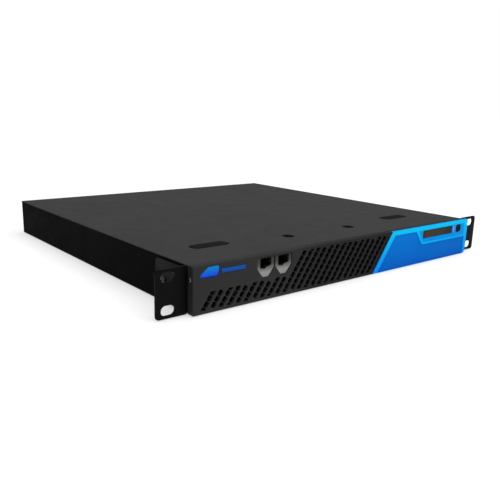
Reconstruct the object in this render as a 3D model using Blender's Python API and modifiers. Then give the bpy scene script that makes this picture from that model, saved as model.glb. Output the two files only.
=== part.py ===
"""Firewall appliance: a 1U, 19-inch rack-mount network security box.

Frame: +X to the right seen from the front, +Y towards the rear, +Z up.
Origin: centre of the footprint, on the plane that the box rests on.
Lengths below are millimetres measured from the front face of the bezel (y = 0),
the centre plane (x = 0) and the resting plane (z = 0). place() turns them into metres
in the model's frame.
"""
import bpy
import bmesh
import math
from mathutils import Matrix, Vector

# ---------------------------------------------------------------- driving dimensions (mm)
DEPTH = 420.0            # bezel front to the rear hem of the cover
EAR_SPAN = 482.6         # 19 inches over the rack ears
BEZEL_W = 420.0
BODY_W = 417.0
HEIGHT = 44.0            # 1U less the usual clearance
BEZEL_Z0 = 0.3
BEZEL_DEPTH = 8.3
SHEET = 1.2              # steel thickness
BODY_Y0 = 8.6            # front face of the chassis behind the bezel
TRAY_Z1 = 42.0
COVER_Z0 = 42.3
COVER_Z1 = 43.5
EAR_Y0, EAR_Y1 = 8.5, 10.5
SLANT_X0 = 26.6          # accent panel's slanted edge at z = 0
SLANT = 0.703            # its run in x for each mm of height
LINE_X0 = -107.5         # perforation line number 0 at z = 0
LINE_PITCH = 9.46
SLOT_W = 4.4
JACKS = (("left", -128.8), ("right", -106.7))
SCREW_X = (-54.5, 40.0)              # the two screws that hold the cover
RECESS_X = (-149.0, 138.0)           # the two thumb recesses of the cover
FANS = (("1", -73.0), ("2", -22.0), ("3", 21.5))
FAN_Y0 = 104.0
PSU = (120.0, 205.0, 262.0, 416.3, 1.6, 39.6)

# ---------------------------------------------------------------- clear the scene
for ob in list(bpy.data.objects):
    bpy.data.objects.remove(ob, do_unlink=True)

PARTS = bpy.data.collections.new("firewall_appliance")
CUTTERS = bpy.data.collections.new("cutters")
bpy.context.scene.collection.children.link(PARTS)
bpy.context.scene.collection.children.link(CUTTERS)


# ---------------------------------------------------------------- materials
def srgb(v):
    v = v / 255.0
    return v / 12.92 if v <= 0.04045 else ((v + 0.055) / 1.055) ** 2.4


def material(name, rgb, rough, metal=0.0):
    m = bpy.data.materials.new(name)
    m.use_nodes = True
    b = m.node_tree.nodes["Principled BSDF"]
    b.inputs["Base Color"].default_value = (srgb(rgb[0]), srgb(rgb[1]), srgb(rgb[2]), 1.0)
    b.inputs["Roughness"].default_value = rough
    b.inputs["Metallic"].default_value = metal
    m.diffuse_color = b.inputs["Base Color"].default_value
    return m


PAINT = material("charcoal_paint", (66, 66, 68), 0.55)
DARK_STEEL = material("black_steel", (34, 34, 36), 0.5)
ZINC = material("zinc_steel", (168, 170, 172), 0.35, 1.0)
NICKEL = material("nickel", (190, 190, 186), 0.25, 1.0)
BEZEL_PLASTIC = material("bezel_plastic", (52, 52, 54), 0.6)
BLUE = material("accent_blue", (0, 118, 222), 0.35)
WINDOW = material("smoked_window", (46, 34, 22), 0.15)
LIGHT = material("light_bar", (150, 140, 225), 0.4)
BLACK = material("black_plastic", (22, 22, 24), 0.5)
BADGE = material("badge_blue", (20, 120, 240), 0.35)
BOARD = material("circuit_board", (24, 74, 46), 0.5)
ALU = material("aluminium", (176, 178, 182), 0.4, 1.0)
BRASS = material("brass", (196, 162, 92), 0.35, 1.0)
LCD = material("display_glass", (58, 66, 24), 0.3)
CABLE = material("cable_jacket", (30, 30, 32), 0.6)


# ---------------------------------------------------------------- shapes, in mm
def box(x0, x1, y0, y1, z0, z1):
    """Closed box between two corners."""
    def make(bm):
        m = Matrix.Translation(((x0 + x1) / 2, (y0 + y1) / 2, (z0 + z1) / 2))
        m = m @ Matrix.Diagonal((x1 - x0, y1 - y0, z1 - z0, 1.0))
        bmesh.ops.create_cube(bm, size=1.0, matrix=m)
    return make


def cyl(axis, c, r, a0, a1, seg=24, r2=None):
    """Closed cylinder or cone about an axis through c, from a0 to a1 along the axis."""
    def make(bm):
        mid = list(c)
        k = "xyz".index(axis)
        mid[k] = (a0 + a1) / 2
        turn = {"x": Matrix.Rotation(math.pi / 2, 4, "Y"),
                "y": Matrix.Rotation(-math.pi / 2, 4, "X"),
                "z": Matrix.Identity(4)}[axis]
        bmesh.ops.create_cone(bm, cap_ends=True, segments=seg, radius1=r,
                              radius2=r if r2 is None else r2, depth=abs(a1 - a0),
                              matrix=Matrix.Translation(mid) @ turn)
    return make


def prism(axis, pts, a0, a1):
    """Flat outline extruded along an axis: (x, z) for y, (x, y) for z, (y, z) for x."""
    def make(bm):
        def at(p, a):
            return {"y": (p[0], a, p[1]), "z": (p[0], p[1], a), "x": (a, p[0], p[1])}[axis]
        face = bm.faces.new([bm.verts.new(at(p, a0)) for p in pts])
        out = bmesh.ops.extrude_face_region(bm, geom=[face])
        step = Vector(at((0, 0), a1)) - Vector(at((0, 0), a0))
        bmesh.ops.translate(bm, vec=step, verts=[g for g in out["geom"] if isinstance(g, bmesh.types.BMVert)])
    return make


def turned(shape, matrix):
    """A shape moved by a matrix."""
    def make(bm):
        old = set(bm.verts)
        shape(bm)
        bmesh.ops.transform(bm, matrix=matrix, verts=[v for v in bm.verts if v not in old])
    return make


def round_rect(u0, u1, v0, v1, r, n=4):
    """Outline of a rectangle with rounded corners."""
    pts = []
    for cu, cv, a in ((u1 - r, v1 - r, 0), (u0 + r, v1 - r, 90), (u0 + r, v0 + r, 180), (u1 - r, v0 + r, 270)):
        for i in range(n + 1):
            t = math.radians(a + 90.0 * i / n)
            pts.append((cu + r * math.cos(t), cv + r * math.sin(t)))
    return pts


def fill(shapes, origin):
    """One mesh from shapes, in metres about an origin, with every face pointing out."""
    bm = bmesh.new()
    for s in shapes:
        s(bm)
    bmesh.ops.translate(bm, vec=-Vector(origin), verts=bm.verts)
    bmesh.ops.scale(bm, vec=(0.001, 0.001, 0.001), verts=bm.verts)
    bmesh.ops.recalc_face_normals(bm, faces=bm.faces)
    me = bpy.data.meshes.new("mesh")
    bm.to_mesh(me)
    bm.free()
    return me


def place(origin):
    return Vector((origin[0], origin[1] - DEPTH / 2, origin[2])) * 0.001


def solid(name, mat, base, steps=(), origin=None, bevel=0.0, smooth=False, parent=None):
    """A named piece: a base shape, then groups of shapes added ("+") or taken away ("-")."""
    if origin is None:
        probe = fill([base], (0, 0, 0))
        lo = [min(v.co[i] for v in probe.vertices) * 1000 for i in range(3)]
        hi = [max(v.co[i] for v in probe.vertices) * 1000 for i in range(3)]
        origin = [(a + b) / 2 for a, b in zip(lo, hi)]
        bpy.data.meshes.remove(probe)
    ob = bpy.data.objects.new(name, fill([base], origin))
    ob.data.name = name
    ob.location = place(origin)
    ob.data.materials.append(mat)
    PARTS.objects.link(ob)
    for i, (sign, group) in enumerate(steps):
        cut = bpy.data.objects.new("%s_tool_%d" % (name, i), fill(group, origin))
        cut.location = place(origin)
        cut.hide_render = True
        cut.display_type = "WIRE"
        CUTTERS.objects.link(cut)
        mod = ob.modifiers.new("%d" % i, "BOOLEAN")
        mod.operation = "UNION" if sign == "+" else "DIFFERENCE"
        mod.object = cut
    if bevel:
        mod = ob.modifiers.new("edges", "BEVEL")
        mod.width = bevel * 0.001
        mod.segments = 1
        mod.limit_method = "ANGLE"
        mod.angle_limit = math.radians(50)
    if smooth:
        ob.data.shade_smooth()
        ob.data.set_sharp_from_angle(angle=math.radians(35))
    if parent is not None:
        ob.parent = parent
        ob.location = ob.location - parent.location
        for m in ob.modifiers:
            if m.type == "BOOLEAN":
                m.object.parent = parent
                m.object.location = m.object.location - parent.location
    return ob


def joint_empty(name, origin):
    """An empty on a joint's axis, which the pieces that move about it hang from."""
    e = bpy.data.objects.new(name, None)
    e.location = place(origin)
    e.empty_display_size = 0.01
    PARTS.objects.link(e)
    return e


def slant(z):
    return SLANT_X0 + SLANT * z


# ---------------------------------------------------------------- chassis
HALF = BODY_W / 2
tray_tab = box(-206.7, -204.9, 2.9, 9.0, 28.0, 36.0)            # lug that the bezel screw enters
cover_tabs = [box(x - 8, x + 8, 9.2, 58.0, 40.3, 41.5) for x in SCREW_X]
front_windows = [box(-196.0, -148.0, 7.0, 11.0, 4.0, 18.5), box(-144.0, -96.0, 7.0, 11.0, 4.0, 18.5),
                 box(-92.0, -56.0, 7.0, 11.0, 4.0, 37.0), box(-52.0, -14.0, 7.0, 11.0, 4.0, 37.0),
                 box(-10.0, 26.0, 7.0, 11.0, 4.0, 37.0), box(112.0, 198.0, 7.0, 11.0, 24.0, 40.2)]
front_windows += [box(x - 9.0, x + 9.0, 7.0, 11.0, 24.0, 41.3) for n, x in JACKS]
side_holes = [cyl("x", (0, y, 22.0), 1.9, s * 204.0, s * 212.0, 12) for y in (26.0, 46.0) for s in (-1, 1)]
solid("chassis_tray", DARK_STEEL, box(-HALF, HALF, BODY_Y0, 418.2, 0.0, TRAY_Z1), [
    ("-", [box(-HALF + SHEET, HALF - SHEET, BODY_Y0 + SHEET, 440.0, SHEET, 60.0)]),
    ("+", [tray_tab] + cover_tabs),
    ("-", front_windows),
    ("-", side_holes),
    ("-", [cyl("x", (0, 4.9, 31.9), 1.7, -212.0, -200.0, 12)]
          + [cyl("z", (x, 50.0, 0), 1.9, 38.0, 42.2, 12) for x in SCREW_X]),
])

# Rear panel with its port, power supply and exhaust cut-outs. Its top edge lies below the cover's cups and
# screw tips, which pass over it as the cover slides off, and its top corners clear the skirts.
vents = [box(-40.0 + 8.6 * i, -36.0 + 8.6 * i, 410.0, 425.0, 7.0, 36.0) for i in range(16)]
solid("rear_panel", DARK_STEEL, box(-206.9, 206.9, 416.9, 418.1, 1.5, 40.3), [
    ("-", [box(204.6, 209.0, 410.0, 425.0, 33.5, 45.0), box(-209.0, -204.6, 410.0, 425.0, 33.5, 45.0),
           box(121.5, 203.7, 410.0, 425.0, 3.2, 38.2),
           box(-191.0, -125.0, 410.0, 425.0, 9.6, 23.6),
           box(-116.6, -101.0, 410.0, 425.0, 9.6, 26.4),
           box(-86.4, -66.6, 410.0, 425.0, 11.4, 22.0)] + vents),
])

# Top cover: flat sheet, inner skirts, rear hem, two formed thumb recesses and two screw dimples.
cover_slide = joint_empty("cover_slide_axis", (0.0, 210.0, COVER_Z1))
recess = [prism("z", round_rect(x - 22.0, x + 22.0, 53.5, 70.5, 7.5), 41.5, 50.0) for x in RECESS_X]
recess_cup = [prism("z", round_rect(x - 24.5, x + 24.5, 51.5, 72.5, 9.5), 40.6, 42.9) for x in RECESS_X]
solid("top_cover", PAINT, box(-HALF, HALF, BODY_Y0, DEPTH, COVER_Z0, COVER_Z1), [
    ("+", [box(s * 206.0 - 0.6, s * 206.0 + 0.6, 14.0, 414.0, 35.0, 42.9) for s in (-1, 1)]
          + [box(-HALF + 0.4, HALF - 0.4, 418.6, DEPTH - 0.1, 35.0, 42.9)] + recess_cup),
    ("-", recess + [cyl("z", (x, 50.0, 0), 6.2, 42.8, 50.0, 20) for x in SCREW_X]),
    ("-", [cyl("z", (x, 50.0, 0), 2.0, 40.0, 46.0, 12) for x in SCREW_X]),
], parent=cover_slide)
for n, x in zip(("left", "right"), SCREW_X):
    solid("cover_screw_" + n, BLACK, cyl("z", (x, 50.0, 0), 4.2, 43.1, 44.0, 16), [
        ("+", [cyl("z", (x, 50.0, 0), 1.6, 41.8, 43.4, 12)]),
    ], origin=(x, 50.0, 43.1), smooth=True, parent=cover_slide)

# ---------------------------------------------------------------- bezel
BEZ_H = BEZEL_W / 2


def jack_outline(x, grow=0.0):
    """Outline of a jack's metal face: square shoulders, tapering to a narrow foot."""
    g = grow
    return [(x - 10.3 - g, 41.2 + g), (x - 10.3 - g, 31.0 - g * 0.6), (x - 3.2 - g * 0.6, 22.2 - g),
            (x + 3.2 + g * 0.6, 22.2 - g), (x + 10.3 + g, 31.0 - g * 0.6), (x + 10.3 + g, 41.2 + g)]


slots = []
for k in range(-10, 14):
    x0 = LINE_X0 + LINE_PITCH * k
    zt = 18.6 if k < 0 else 40.0
    zb = 4.2
    slots.append(prism("y", [(x0 + SLANT * zb - SLOT_W / 2, zb), (x0 + SLANT * zb + SLOT_W / 2, zb),
                             (x0 + SLANT * zt + SLOT_W / 2, zt), (x0 + SLANT * zt - SLOT_W / 2, zt)], -2.0, 4.0))
solid("front_bezel", BEZEL_PLASTIC, box(-BEZ_H, BEZ_H, 0.0, BEZEL_DEPTH, BEZEL_Z0, HEIGHT), [
    ("-", [prism("y", [(slant(-2.0), -2.0), (260.0, -2.0), (260.0, 60.0), (slant(60.0), 60.0)], -3.0, 3.7)]),
    ("-", [box(-BEZ_H + 2.4, BEZ_H - 2.4, 5.9, 12.0, 2.7, 41.7)]),
    ("-", [prism("y", [(-BEZ_H + 2.4, 2.7), (slant(2.7) - 2.2, 2.7), (slant(41.7) - 2.2, 41.7), (-BEZ_H + 2.4, 41.7)], 2.6, 7.0)]),
    ("-", slots + [prism("y", jack_outline(x, 0.3), -2.0, 4.0) for n, x in JACKS]),
    ("-", [prism("y", round_rect(-203.3, -182.7, 31.2, 42.1, 3.6), -2.0, 0.8),
           box(-180.0, -152.7, -2.0, 0.8, 34.0, 38.5)]),
    ("-", [box(118.0, 174.0, 3.0, 7.0, 31.0, 37.0), cyl("y", (189.6, 0, 34.2), 2.7, 3.0, 7.0, 20),
           box(179.4, 181.0, 3.0, 7.0, 31.0, 37.0)]),
    ("-", [cyl("x", (0, 4.9, 31.9), 1.7, -212.0, -204.0, 12)]),
])
solid("bezel_screw", NICKEL, cyl("x", (-210.8, 4.9, 31.9), 2.7, -211.5, -210.3, 16), [
    ("+", [cyl("x", (0, 4.9, 31.9), 1.3, -210.8, -203.6, 12)]),
], origin=(-210.3, 4.9, 31.9), smooth=True)

# Accent panel: a slanted plate with a raised rim on three sides, a sunk field and a raised console.
solid("accent_panel", BLUE, prism("y", [(slant(BEZEL_Z0) + 0.3, BEZEL_Z0), (207.0, BEZEL_Z0), (BEZ_H, 3.6),
                                         (BEZ_H, HEIGHT), (slant(HEIGHT) + 0.3, HEIGHT)], 0.2, 3.4), [
    ("-", [prism("y", [(slant(-2.0) + 6.4, -2.0), (203.6, -2.0), (203.6, 23.8), (115.2, 23.8), (104.2, 39.4),
                       (slant(39.4) + 6.4, 39.4)], -2.0, 1.6)]),
    ("-", [box(115.5, 176.3, -2.0, 5.0, 29.4, 38.8), box(178.9, 181.5, -2.0, 5.0, 29.4, 38.8),
           prism("y", round_rect(184.3, 194.9, 29.4, 39.0, 1.6, 3), -2.0, 5.0)]),
])
solid("indicator_window", WINDOW, box(115.8, 176.0, 0.7, 3.2, 29.7, 38.5))
solid("status_light_bar", LIGHT, box(179.2, 181.2, 0.5, 3.2, 29.7, 38.5))
button_axis = joint_empty("power_button_axis", (189.6, 0.0, 34.2))
solid("power_button", BLACK, prism("y", round_rect(184.8, 194.4, 29.9, 38.5, 1.3, 3), 0.0, 2.0), [
    ("+", [cyl("y", (189.6, 0, 34.2), 2.0, 1.2, 6.6, 16)]),
], origin=(189.6, 0.0, 34.2), parent=button_axis)
solid("badge_emblem", BADGE, prism("y", round_rect(-203.0, -183.0, 31.5, 41.8, 3.3), 0.0, 0.5))
solid("badge_bar", BADGE, box(-179.7, -153.0, 0.0, 0.5, 34.3, 38.2))

# ---------------------------------------------------------------- front jacks
for n, x in JACKS:
    solid("front_jack_%s_shell" % n, NICKEL, prism("y", jack_outline(x), 0.6, 3.2), [
        ("+", [box(x - 8.0, x + 8.0, 3.0, 20.0, 27.4, 41.1)]),
        ("-", [box(x - 7.2, x + 7.2, 3.6, 22.0, 28.2, 40.7)]),
        ("-", [prism("y", [(x - 6.2, 40.2), (x - 6.2, 31.4), (x - 3.0, 31.4), (x - 3.0, 29.4), (x + 3.0, 29.4),
                           (x + 3.0, 31.4), (x + 6.2, 31.4), (x + 6.2, 40.2)], -1.0, 4.5)]),
    ])
    solid("front_jack_%s_insert" % n, BLACK, box(x - 6.9, x + 6.9, 3.9, 19.6, 28.5, 40.45), [
        ("-", [prism("y", [(x - 5.9, 39.95), (x - 5.9, 31.7), (x - 2.8, 31.7), (x - 2.8, 29.9), (x + 2.8, 29.9),
                           (x + 2.8, 31.7), (x + 5.9, 31.7), (x + 5.9, 39.95)], 2.0, 16.0)]),
    ])
solid("front_port_board", BOARD, box(-146.0, -91.0, 10.4, 52.0, 25.3, 26.9))
solid("front_io_board", BOARD, box(110.0, 203.0, 12.4, 14.0, 14.0, 41.0))
solid("display_module", LCD, box(116.0, 176.0, 6.3, 12.1, 28.5, 39.8))
solid("button_switch", BLACK, box(186.4, 192.8, 9.2, 12.1, 31.0, 37.4), [
    ("+", [cyl("y", (189.6, 0, 34.2), 1.7, 8.5, 9.6, 12)]),
])

# ---------------------------------------------------------------- rack ears
for n, s in (("left", -1), ("right", 1)):
    def sx(a, b):
        return (min(s * a, s * b), max(s * a, s * b))
    a0, a1 = sx(208.8, EAR_SPAN / 2)
    f0, f1 = sx(208.8, 210.8)
    u0, u1 = sx(222.4, 236.2)
    outline = round_rect(a0, a1, 0.4, 43.9, 3.4, 3)
    solid("%s_rack_ear" % n, DARK_STEEL, prism("y", outline, EAR_Y0, EAR_Y1), [
        ("+", [box(f0, f1, 9.5, 60.0, 2.4, 41.0)]),
        ("-", [prism("y", round_rect(u0, u1, z0, z0 + 9.0, 4.4, 4), 5.0, 15.0) for z0 in (3.0, 32.0)]
              + [cyl("x", (0, y, 22.0), 1.9, s * 206.0, s * 213.0, 12) for y in (26.0, 46.0)]),
    ])
    for i, y in (("front", 26.0), ("rear", 46.0)):
        solid("%s_ear_screw_%s" % (n, i), ZINC, cyl("x", (0, y, 22.0), 3.4, s * 211.1, s * 212.7, 16), [
            ("+", [cyl("x", (0, y, 22.0), 1.5, s * 206.0, s * 212.0, 12)]),
        ], origin=(s * 211.1, y, 22.0), smooth=True)


# ---------------------------------------------------------------- fans
def fan(prefix, suffix, cx, y0, cz, size, depth, joint):
    """Square frame with a round duct, three struts and a motor core, and a cup-shaped rotor with seven blades."""
    h = size / 2
    rd = h - 1.4
    hub = size * 0.25
    y1 = y0 + depth
    c = (cx, 0, cz)
    bars = [turned(box(0.0, rd + 0.8, y1 - 3.0, y1 - 0.2, -1.1, 1.1),
                   Matrix.Translation((cx, 0, cz)) @ Matrix.Rotation(math.radians(a), 4, "Y")) for a in (30, 150, 270)]
    solid("%s_frame%s" % (prefix, suffix), BLACK, box(cx - h, cx + h, y0, y1, cz - h, cz + h), [
        ("-", [cyl("y", c, rd, y0 - 2.0, y1 + 2.0, 32)]),
        ("+", [bars[0]]), ("+", [bars[1]]), ("+", [bars[2]]),
        ("+", [cyl("y", c, hub - 0.4, y1 - 3.4, y1 - 0.1, 20)]),
        ("+", [cyl("y", c, hub - 2.6, y1 - 9.0, y1 - 3.0, 16)]),
    ])
    e = joint_empty(joint + "_axis", (cx, y0, cz))
    ry0, ry1 = y0 + 1.6, y1 - 4.0
    ym = (ry0 + ry1) / 2
    blade = box(hub - 0.6, rd - 0.9, -size * 0.105, size * 0.105, -0.6, 0.6)
    ring = [turned(blade, Matrix.Translation((cx, ym, cz)) @ Matrix.Rotation(math.radians(360.0 * i / 7), 4, "Y")
                   @ Matrix.Rotation(math.radians(38), 4, "X")) for i in range(7)]
    solid("%s_rotor%s" % (prefix, suffix), BLACK, cyl("y", c, hub, ry0, ry1, 24), [
        ("-", [cyl("y", c, hub - 1.6, ry0 + 1.8, ry1 + 3.0, 20)]),
        ("+", ring),
    ], origin=(cx, ym, cz), parent=e)


for n, x in FANS:
    fan("fan", "_" + n, x, FAN_Y0, 21.5, 40.0, 20.0, "fan_%s_spin" % n)
fan("psu_fan", "", 141.0, 400.2, 20.6, 34.0, 14.5, "psu_fan_spin")

# ---------------------------------------------------------------- power supply
px0, px1, py0, py1, pz0, pz1 = PSU
grille = []
for i in range(-3, 4):
    z = 20.6 + 4.2 * i
    w = math.sqrt(max(14.6 ** 2 - (4.2 * abs(i) + 1.2) ** 2, 1.0))
    grille.append(box(141.0 - w, 141.0 + w, 410.0, 420.0, z - 1.25, z + 1.25))
inlet_face = [(176.4, 10.6), (201.4, 10.6), (201.4, 27.0), (197.8, 30.6), (180.0, 30.6), (176.4, 27.0)]
solid("psu_case", ZINC, box(px0, px1, py0, py1, pz0, pz1), [
    ("-", [box(px0 + SHEET, px1 - SHEET, py0 + SHEET, py1 - SHEET, pz0 + SHEET, pz1 - SHEET)]),
    ("-", grille + [box(176.1, 201.7, 410.0, 420.0, 10.3, 30.9), box(162.1, 171.9, 410.0, 420.0, 11.9, 29.3)]),
    ("-", [box(128.0 + 9.0 * i, 132.4 + 9.0 * i, 260.0, 266.0, 8.0, 32.0) for i in range(8)]),
])
pins = [box(183.9, 185.9, 404.0, 411.0, 16.5, 20.5), box(191.9, 193.9, 404.0, 411.0, 16.5, 20.5),
        box(187.9, 189.9, 404.0, 412.0, 21.8, 25.8)]
solid("psu_inlet", BLACK, box(174.4, 203.3, 416.6, 418.8, 9.2, 32.0), [
    ("+", [prism("y", inlet_face, 402.0, 417.4)]),
    ("-", [prism("y", [(179.0, 13.4), (198.8, 13.4), (198.8, 25.0), (196.0, 27.8), (181.8, 27.8), (179.0, 25.0)], 404.6, 422.0)]),
    ("+", pins),
])
solid("psu_rocker_frame", BLACK, box(160.8, 173.2, 416.6, 418.2, 10.6, 30.6), [
    ("+", [box(162.4, 171.6, 404.5, 417.4, 12.2, 29.0)]),
    ("-", [box(163.2, 170.8, 406.0, 422.0, 13.0, 28.2)]),
])
rocker_axis = joint_empty("psu_switch_axis", (167.0, 413.0, 20.6))
rock = [(0.0, -3.2), (5.2, -6.6), (3.2, 0.0), (5.2, 6.6), (0.0, 3.2), (-2.4, 2.0), (-2.4, -2.0)]
tilt = math.radians(-8.0)
rock = [(413.0 + y * math.cos(tilt) - z * math.sin(tilt), 20.6 + y * math.sin(tilt) + z * math.cos(tilt)) for y, z in rock]
solid("psu_rocker", BLACK, prism("x", rock, 163.6, 170.4), origin=(167.0, 413.0, 20.6), parent=rocker_axis)

# ---------------------------------------------------------------- mainboard and what it carries
BOARD_Z = 9.6
solid("mainboard", BOARD, box(-203.0, 108.0, 160.0, 408.0, 8.0, BOARD_Z))
for n, x, y in (("front_left", -196.0, 168.0), ("front_right", 101.0, 168.0), ("rear_left", -196.0, 396.0), ("rear_right", 101.0, 396.0)):
    solid("standoff_" + n, BRASS, cyl("z", (x, y, 0), 3.2, 1.5, 7.7, 6))


def comb(x0, x1, z0, zb, z1, n, t):
    """Outline of a finned heatsink: a base with n upright fins of thickness t."""
    pts = [(x0, z0), (x1, z0)]
    pitch = (x1 - x0 - t) / (n - 1)
    for i in range(n - 1, -1, -1):
        a = x0 + pitch * i
        pts += [(a + t, z1), (a, z1)]
        if i:
            pts += [(a, zb), (a - pitch + t, zb)]
    return pts


solid("processor", ZINC, box(-90.0, -50.0, 245.0, 285.0, BOARD_Z + 0.3, 12.7))
solid("cpu_heatsink", ALU, prism("y", comb(-112.0, -28.0, 13.0, 17.0, 37.0, 15, 1.4), 223.0, 307.0))
solid("chipset_heatsink", ALU, prism("y", comb(44.0, 84.0, BOARD_Z + 0.3, 12.6, 24.0, 9, 1.4), 330.0, 370.0))
for n, x in (("a", 0.0), ("b", 14.0)):
    solid("dimm_socket_" + n, BLACK, box(x - 3.3, x + 3.3, 190.0, 332.0, BOARD_Z + 0.3, 17.0), [
        ("-", [box(x - 1.0, x + 1.0, 194.0, 328.0, 12.0, 20.0)]),
    ])
    solid("memory_module_" + n, BOARD, box(x - 0.6, x + 0.6, 194.4, 327.6, 12.3, 40.6))
solid("power_connector", BLACK, box(91.0, 101.0, 180.0, 232.0, BOARD_Z + 0.3, 22.0))
solid("drive_bracket", ZINC, prism("y", [(-200.4, 1.5), (-125.8, 1.5), (-125.8, 18.0), (-127.0, 18.0), (-127.0, 2.7),
                                          (-199.2, 2.7), (-199.2, 18.0), (-200.4, 18.0)], 28.0, 132.0))
solid("storage_drive", ALU, box(-198.05, -128.2, 30.0, 130.0, 8.0, 15.0))

# ---------------------------------------------------------------- rear ports
lan_pockets = []
for i in range(4):
    x = -182.1 + 16.06 * i
    lan_pockets.append(prism("y", [(x - 5.9, 20.4), (x - 5.9, 13.2), (x - 2.8, 13.2), (x - 2.8, 11.6), (x + 2.8, 11.6),
                                   (x + 2.8, 13.2), (x + 5.9, 13.2), (x + 5.9, 20.4)], 406.5, 425.0))
solid("lan_block", NICKEL, box(-190.4, -125.6, 397.0, 419.2, BOARD_Z + 0.3, 23.2), [("-", lan_pockets)])
solid("usb_block", NICKEL, box(-116.0, -101.6, 402.0, 419.2, BOARD_Z + 0.3, 26.0), [
    ("-", [box(-115.2, -102.4, 408.0, 425.0, 11.4, 16.6), box(-115.2, -102.4, 408.0, 425.0, 19.4, 24.6)]),
])
dsub = [(-85.4, 21.2), (-84.2, 12.2), (-68.8, 12.2), (-67.6, 21.2)]
solid("serial_port", NICKEL, box(-92.0, -61.0, 414.6, 416.5, 10.2, 23.2), [
    ("+", [box(-84.0, -69.0, 400.0, 415.4, BOARD_Z + 0.3, 21.0)]),
    ("+", [prism("y", dsub, 416.0, 419.8)]),
    ("-", [prism("y", [(-84.3, 20.2), (-83.3, 13.2), (-69.7, 13.2), (-68.7, 20.2)], 414.0, 425.0)]),
])


# ---------------------------------------------------------------- cables that the box holds from end to end
def smooth_route(knots, n):
    """Points along a Catmull-Rom curve through the knots."""
    pts = [knots[0]] + list(knots) + [knots[-1]]
    out = []
    for i in range(1, len(pts) - 2):
        p0, p1, p2, p3 = (Vector(p) for p in pts[i - 1:i + 3])
        for j in range(n):
            t = j / n
            out.append(0.5 * ((2 * p1) + (p2 - p0) * t + (2 * p0 - 5 * p1 + 4 * p2 - p3) * t * t
                              + (3 * p1 - p0 - 3 * p2 + p3) * t ** 3))
    out.append(Vector(knots[-1]))
    return out


def tube(name, knots, r, n, mat):
    """A cable as a bevelled curve with filled caps."""
    pts = smooth_route(knots, n)
    cu = bpy.data.curves.new(name, "CURVE")
    cu.dimensions = "3D"
    cu.bevel_depth = r * 0.001
    cu.bevel_resolution = 2
    cu.use_fill_caps = True
    sp = cu.splines.new("POLY")
    sp.points.add(len(pts) - 1)
    for p, q in zip(sp.points, pts):
        w = place(q)
        p.co = (w.x, w.y, w.z, 1.0)
    ob = bpy.data.objects.new(name, cu)
    ob.data.materials.append(mat)
    PARTS.objects.link(ob)
    return ob


tube("psu_cable", [(150.0, 261.6, 20.0), (150.0, 248.0, 20.0), (142.0, 226.0, 22.0), (124.0, 210.0, 26.5),
                   (107.0, 206.0, 30.0), (97.5, 206.0, 28.0), (96.0, 206.0, 22.4)], 3.2, 5, CABLE)
tube("front_cable", [(150.0, 14.4, 22.0), (150.0, 24.0, 21.5), (142.0, 52.0, 8.0), (118.0, 92.0, 4.6),
                     (84.0, 140.0, 5.0), (66.0, 152.0, 9.0), (60.0, 158.0, 13.0), (60.0, 168.0, 15.2),
                     (60.0, 176.0, 12.9)], 1.8, 5, CABLE)
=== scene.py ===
"""Looks of the firewall appliance: fine meshes, procedural materials, studio and camera.

Lengths in the helpers are millimetres: x to the right, y from the front face of the bezel
towards the rear, z up. piece() turns them into metres in the model's frame.
"""
import math
import random

import bmesh
import bpy
from mathutils import Matrix, Vector, noise
from mathutils.geometry import tessellate_polygon


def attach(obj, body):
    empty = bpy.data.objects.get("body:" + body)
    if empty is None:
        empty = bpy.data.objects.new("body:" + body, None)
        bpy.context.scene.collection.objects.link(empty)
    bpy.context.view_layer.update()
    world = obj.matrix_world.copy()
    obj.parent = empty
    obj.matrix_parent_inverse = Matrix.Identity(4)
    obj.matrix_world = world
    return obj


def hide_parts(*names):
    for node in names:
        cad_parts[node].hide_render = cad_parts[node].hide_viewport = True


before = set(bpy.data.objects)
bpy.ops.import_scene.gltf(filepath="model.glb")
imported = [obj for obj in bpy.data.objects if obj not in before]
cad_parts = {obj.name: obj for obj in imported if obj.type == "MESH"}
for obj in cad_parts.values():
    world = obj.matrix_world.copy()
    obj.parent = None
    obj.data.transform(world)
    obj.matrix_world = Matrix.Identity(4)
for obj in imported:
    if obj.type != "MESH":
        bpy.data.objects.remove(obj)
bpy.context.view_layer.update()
SCENE = bpy.context.scene
ROOM = SCENE.collection
MM = 0.001
HALF_DEPTH = 210.0


def place(x, y, z):
    return Vector((x, y - HALF_DEPTH, z)) * MM


# ================================================================ camera
def make_camera():
    az, el, roll, dist = -0.6783, 0.2404, 0.0229, 715.26
    target = Vector((-40.34, 150.0, 2.41))
    focal, cx, cy = 588.0, 239.08, 253.10
    back = Vector((math.sin(az) * math.cos(el), -math.cos(az) * math.cos(el), math.sin(el)))
    right = (-back).cross(Vector((0, 0, 1))).normalized()
    up = right.cross(-back)
    r2 = math.cos(roll) * right + math.sin(roll) * up
    u2 = -math.sin(roll) * right + math.cos(roll) * up
    eye = target + back * dist
    cam = bpy.data.objects.new("camera", bpy.data.cameras.new("camera"))
    ROOM.objects.link(cam)
    m = Matrix.Identity(4)
    for i in range(3):
        m[i][0], m[i][1], m[i][2] = r2[i], u2[i], back[i]
    loc = place(*eye)
    m[0][3], m[1][3], m[2][3] = loc
    cam.matrix_world = m
    cam.data.sensor_width = 36.0
    cam.data.lens = focal * 36.0 / 500.0
    cam.data.shift_x = (250.0 - cx) / 500.0
    cam.data.shift_y = (cy - 250.0) / 500.0
    cam.data.clip_start, cam.data.clip_end = 0.01, 60.0
    SCENE.camera = cam


make_camera()


# ================================================================ materials
def lin(v):
    v = v / 255.0
    return v / 12.92 if v <= 0.04045 else ((v + 0.055) / 1.055) ** 2.4


def rgb(c, k=1.0):
    return (lin(c[0]) * k, lin(c[1]) * k, lin(c[2]) * k, 1.0)


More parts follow.
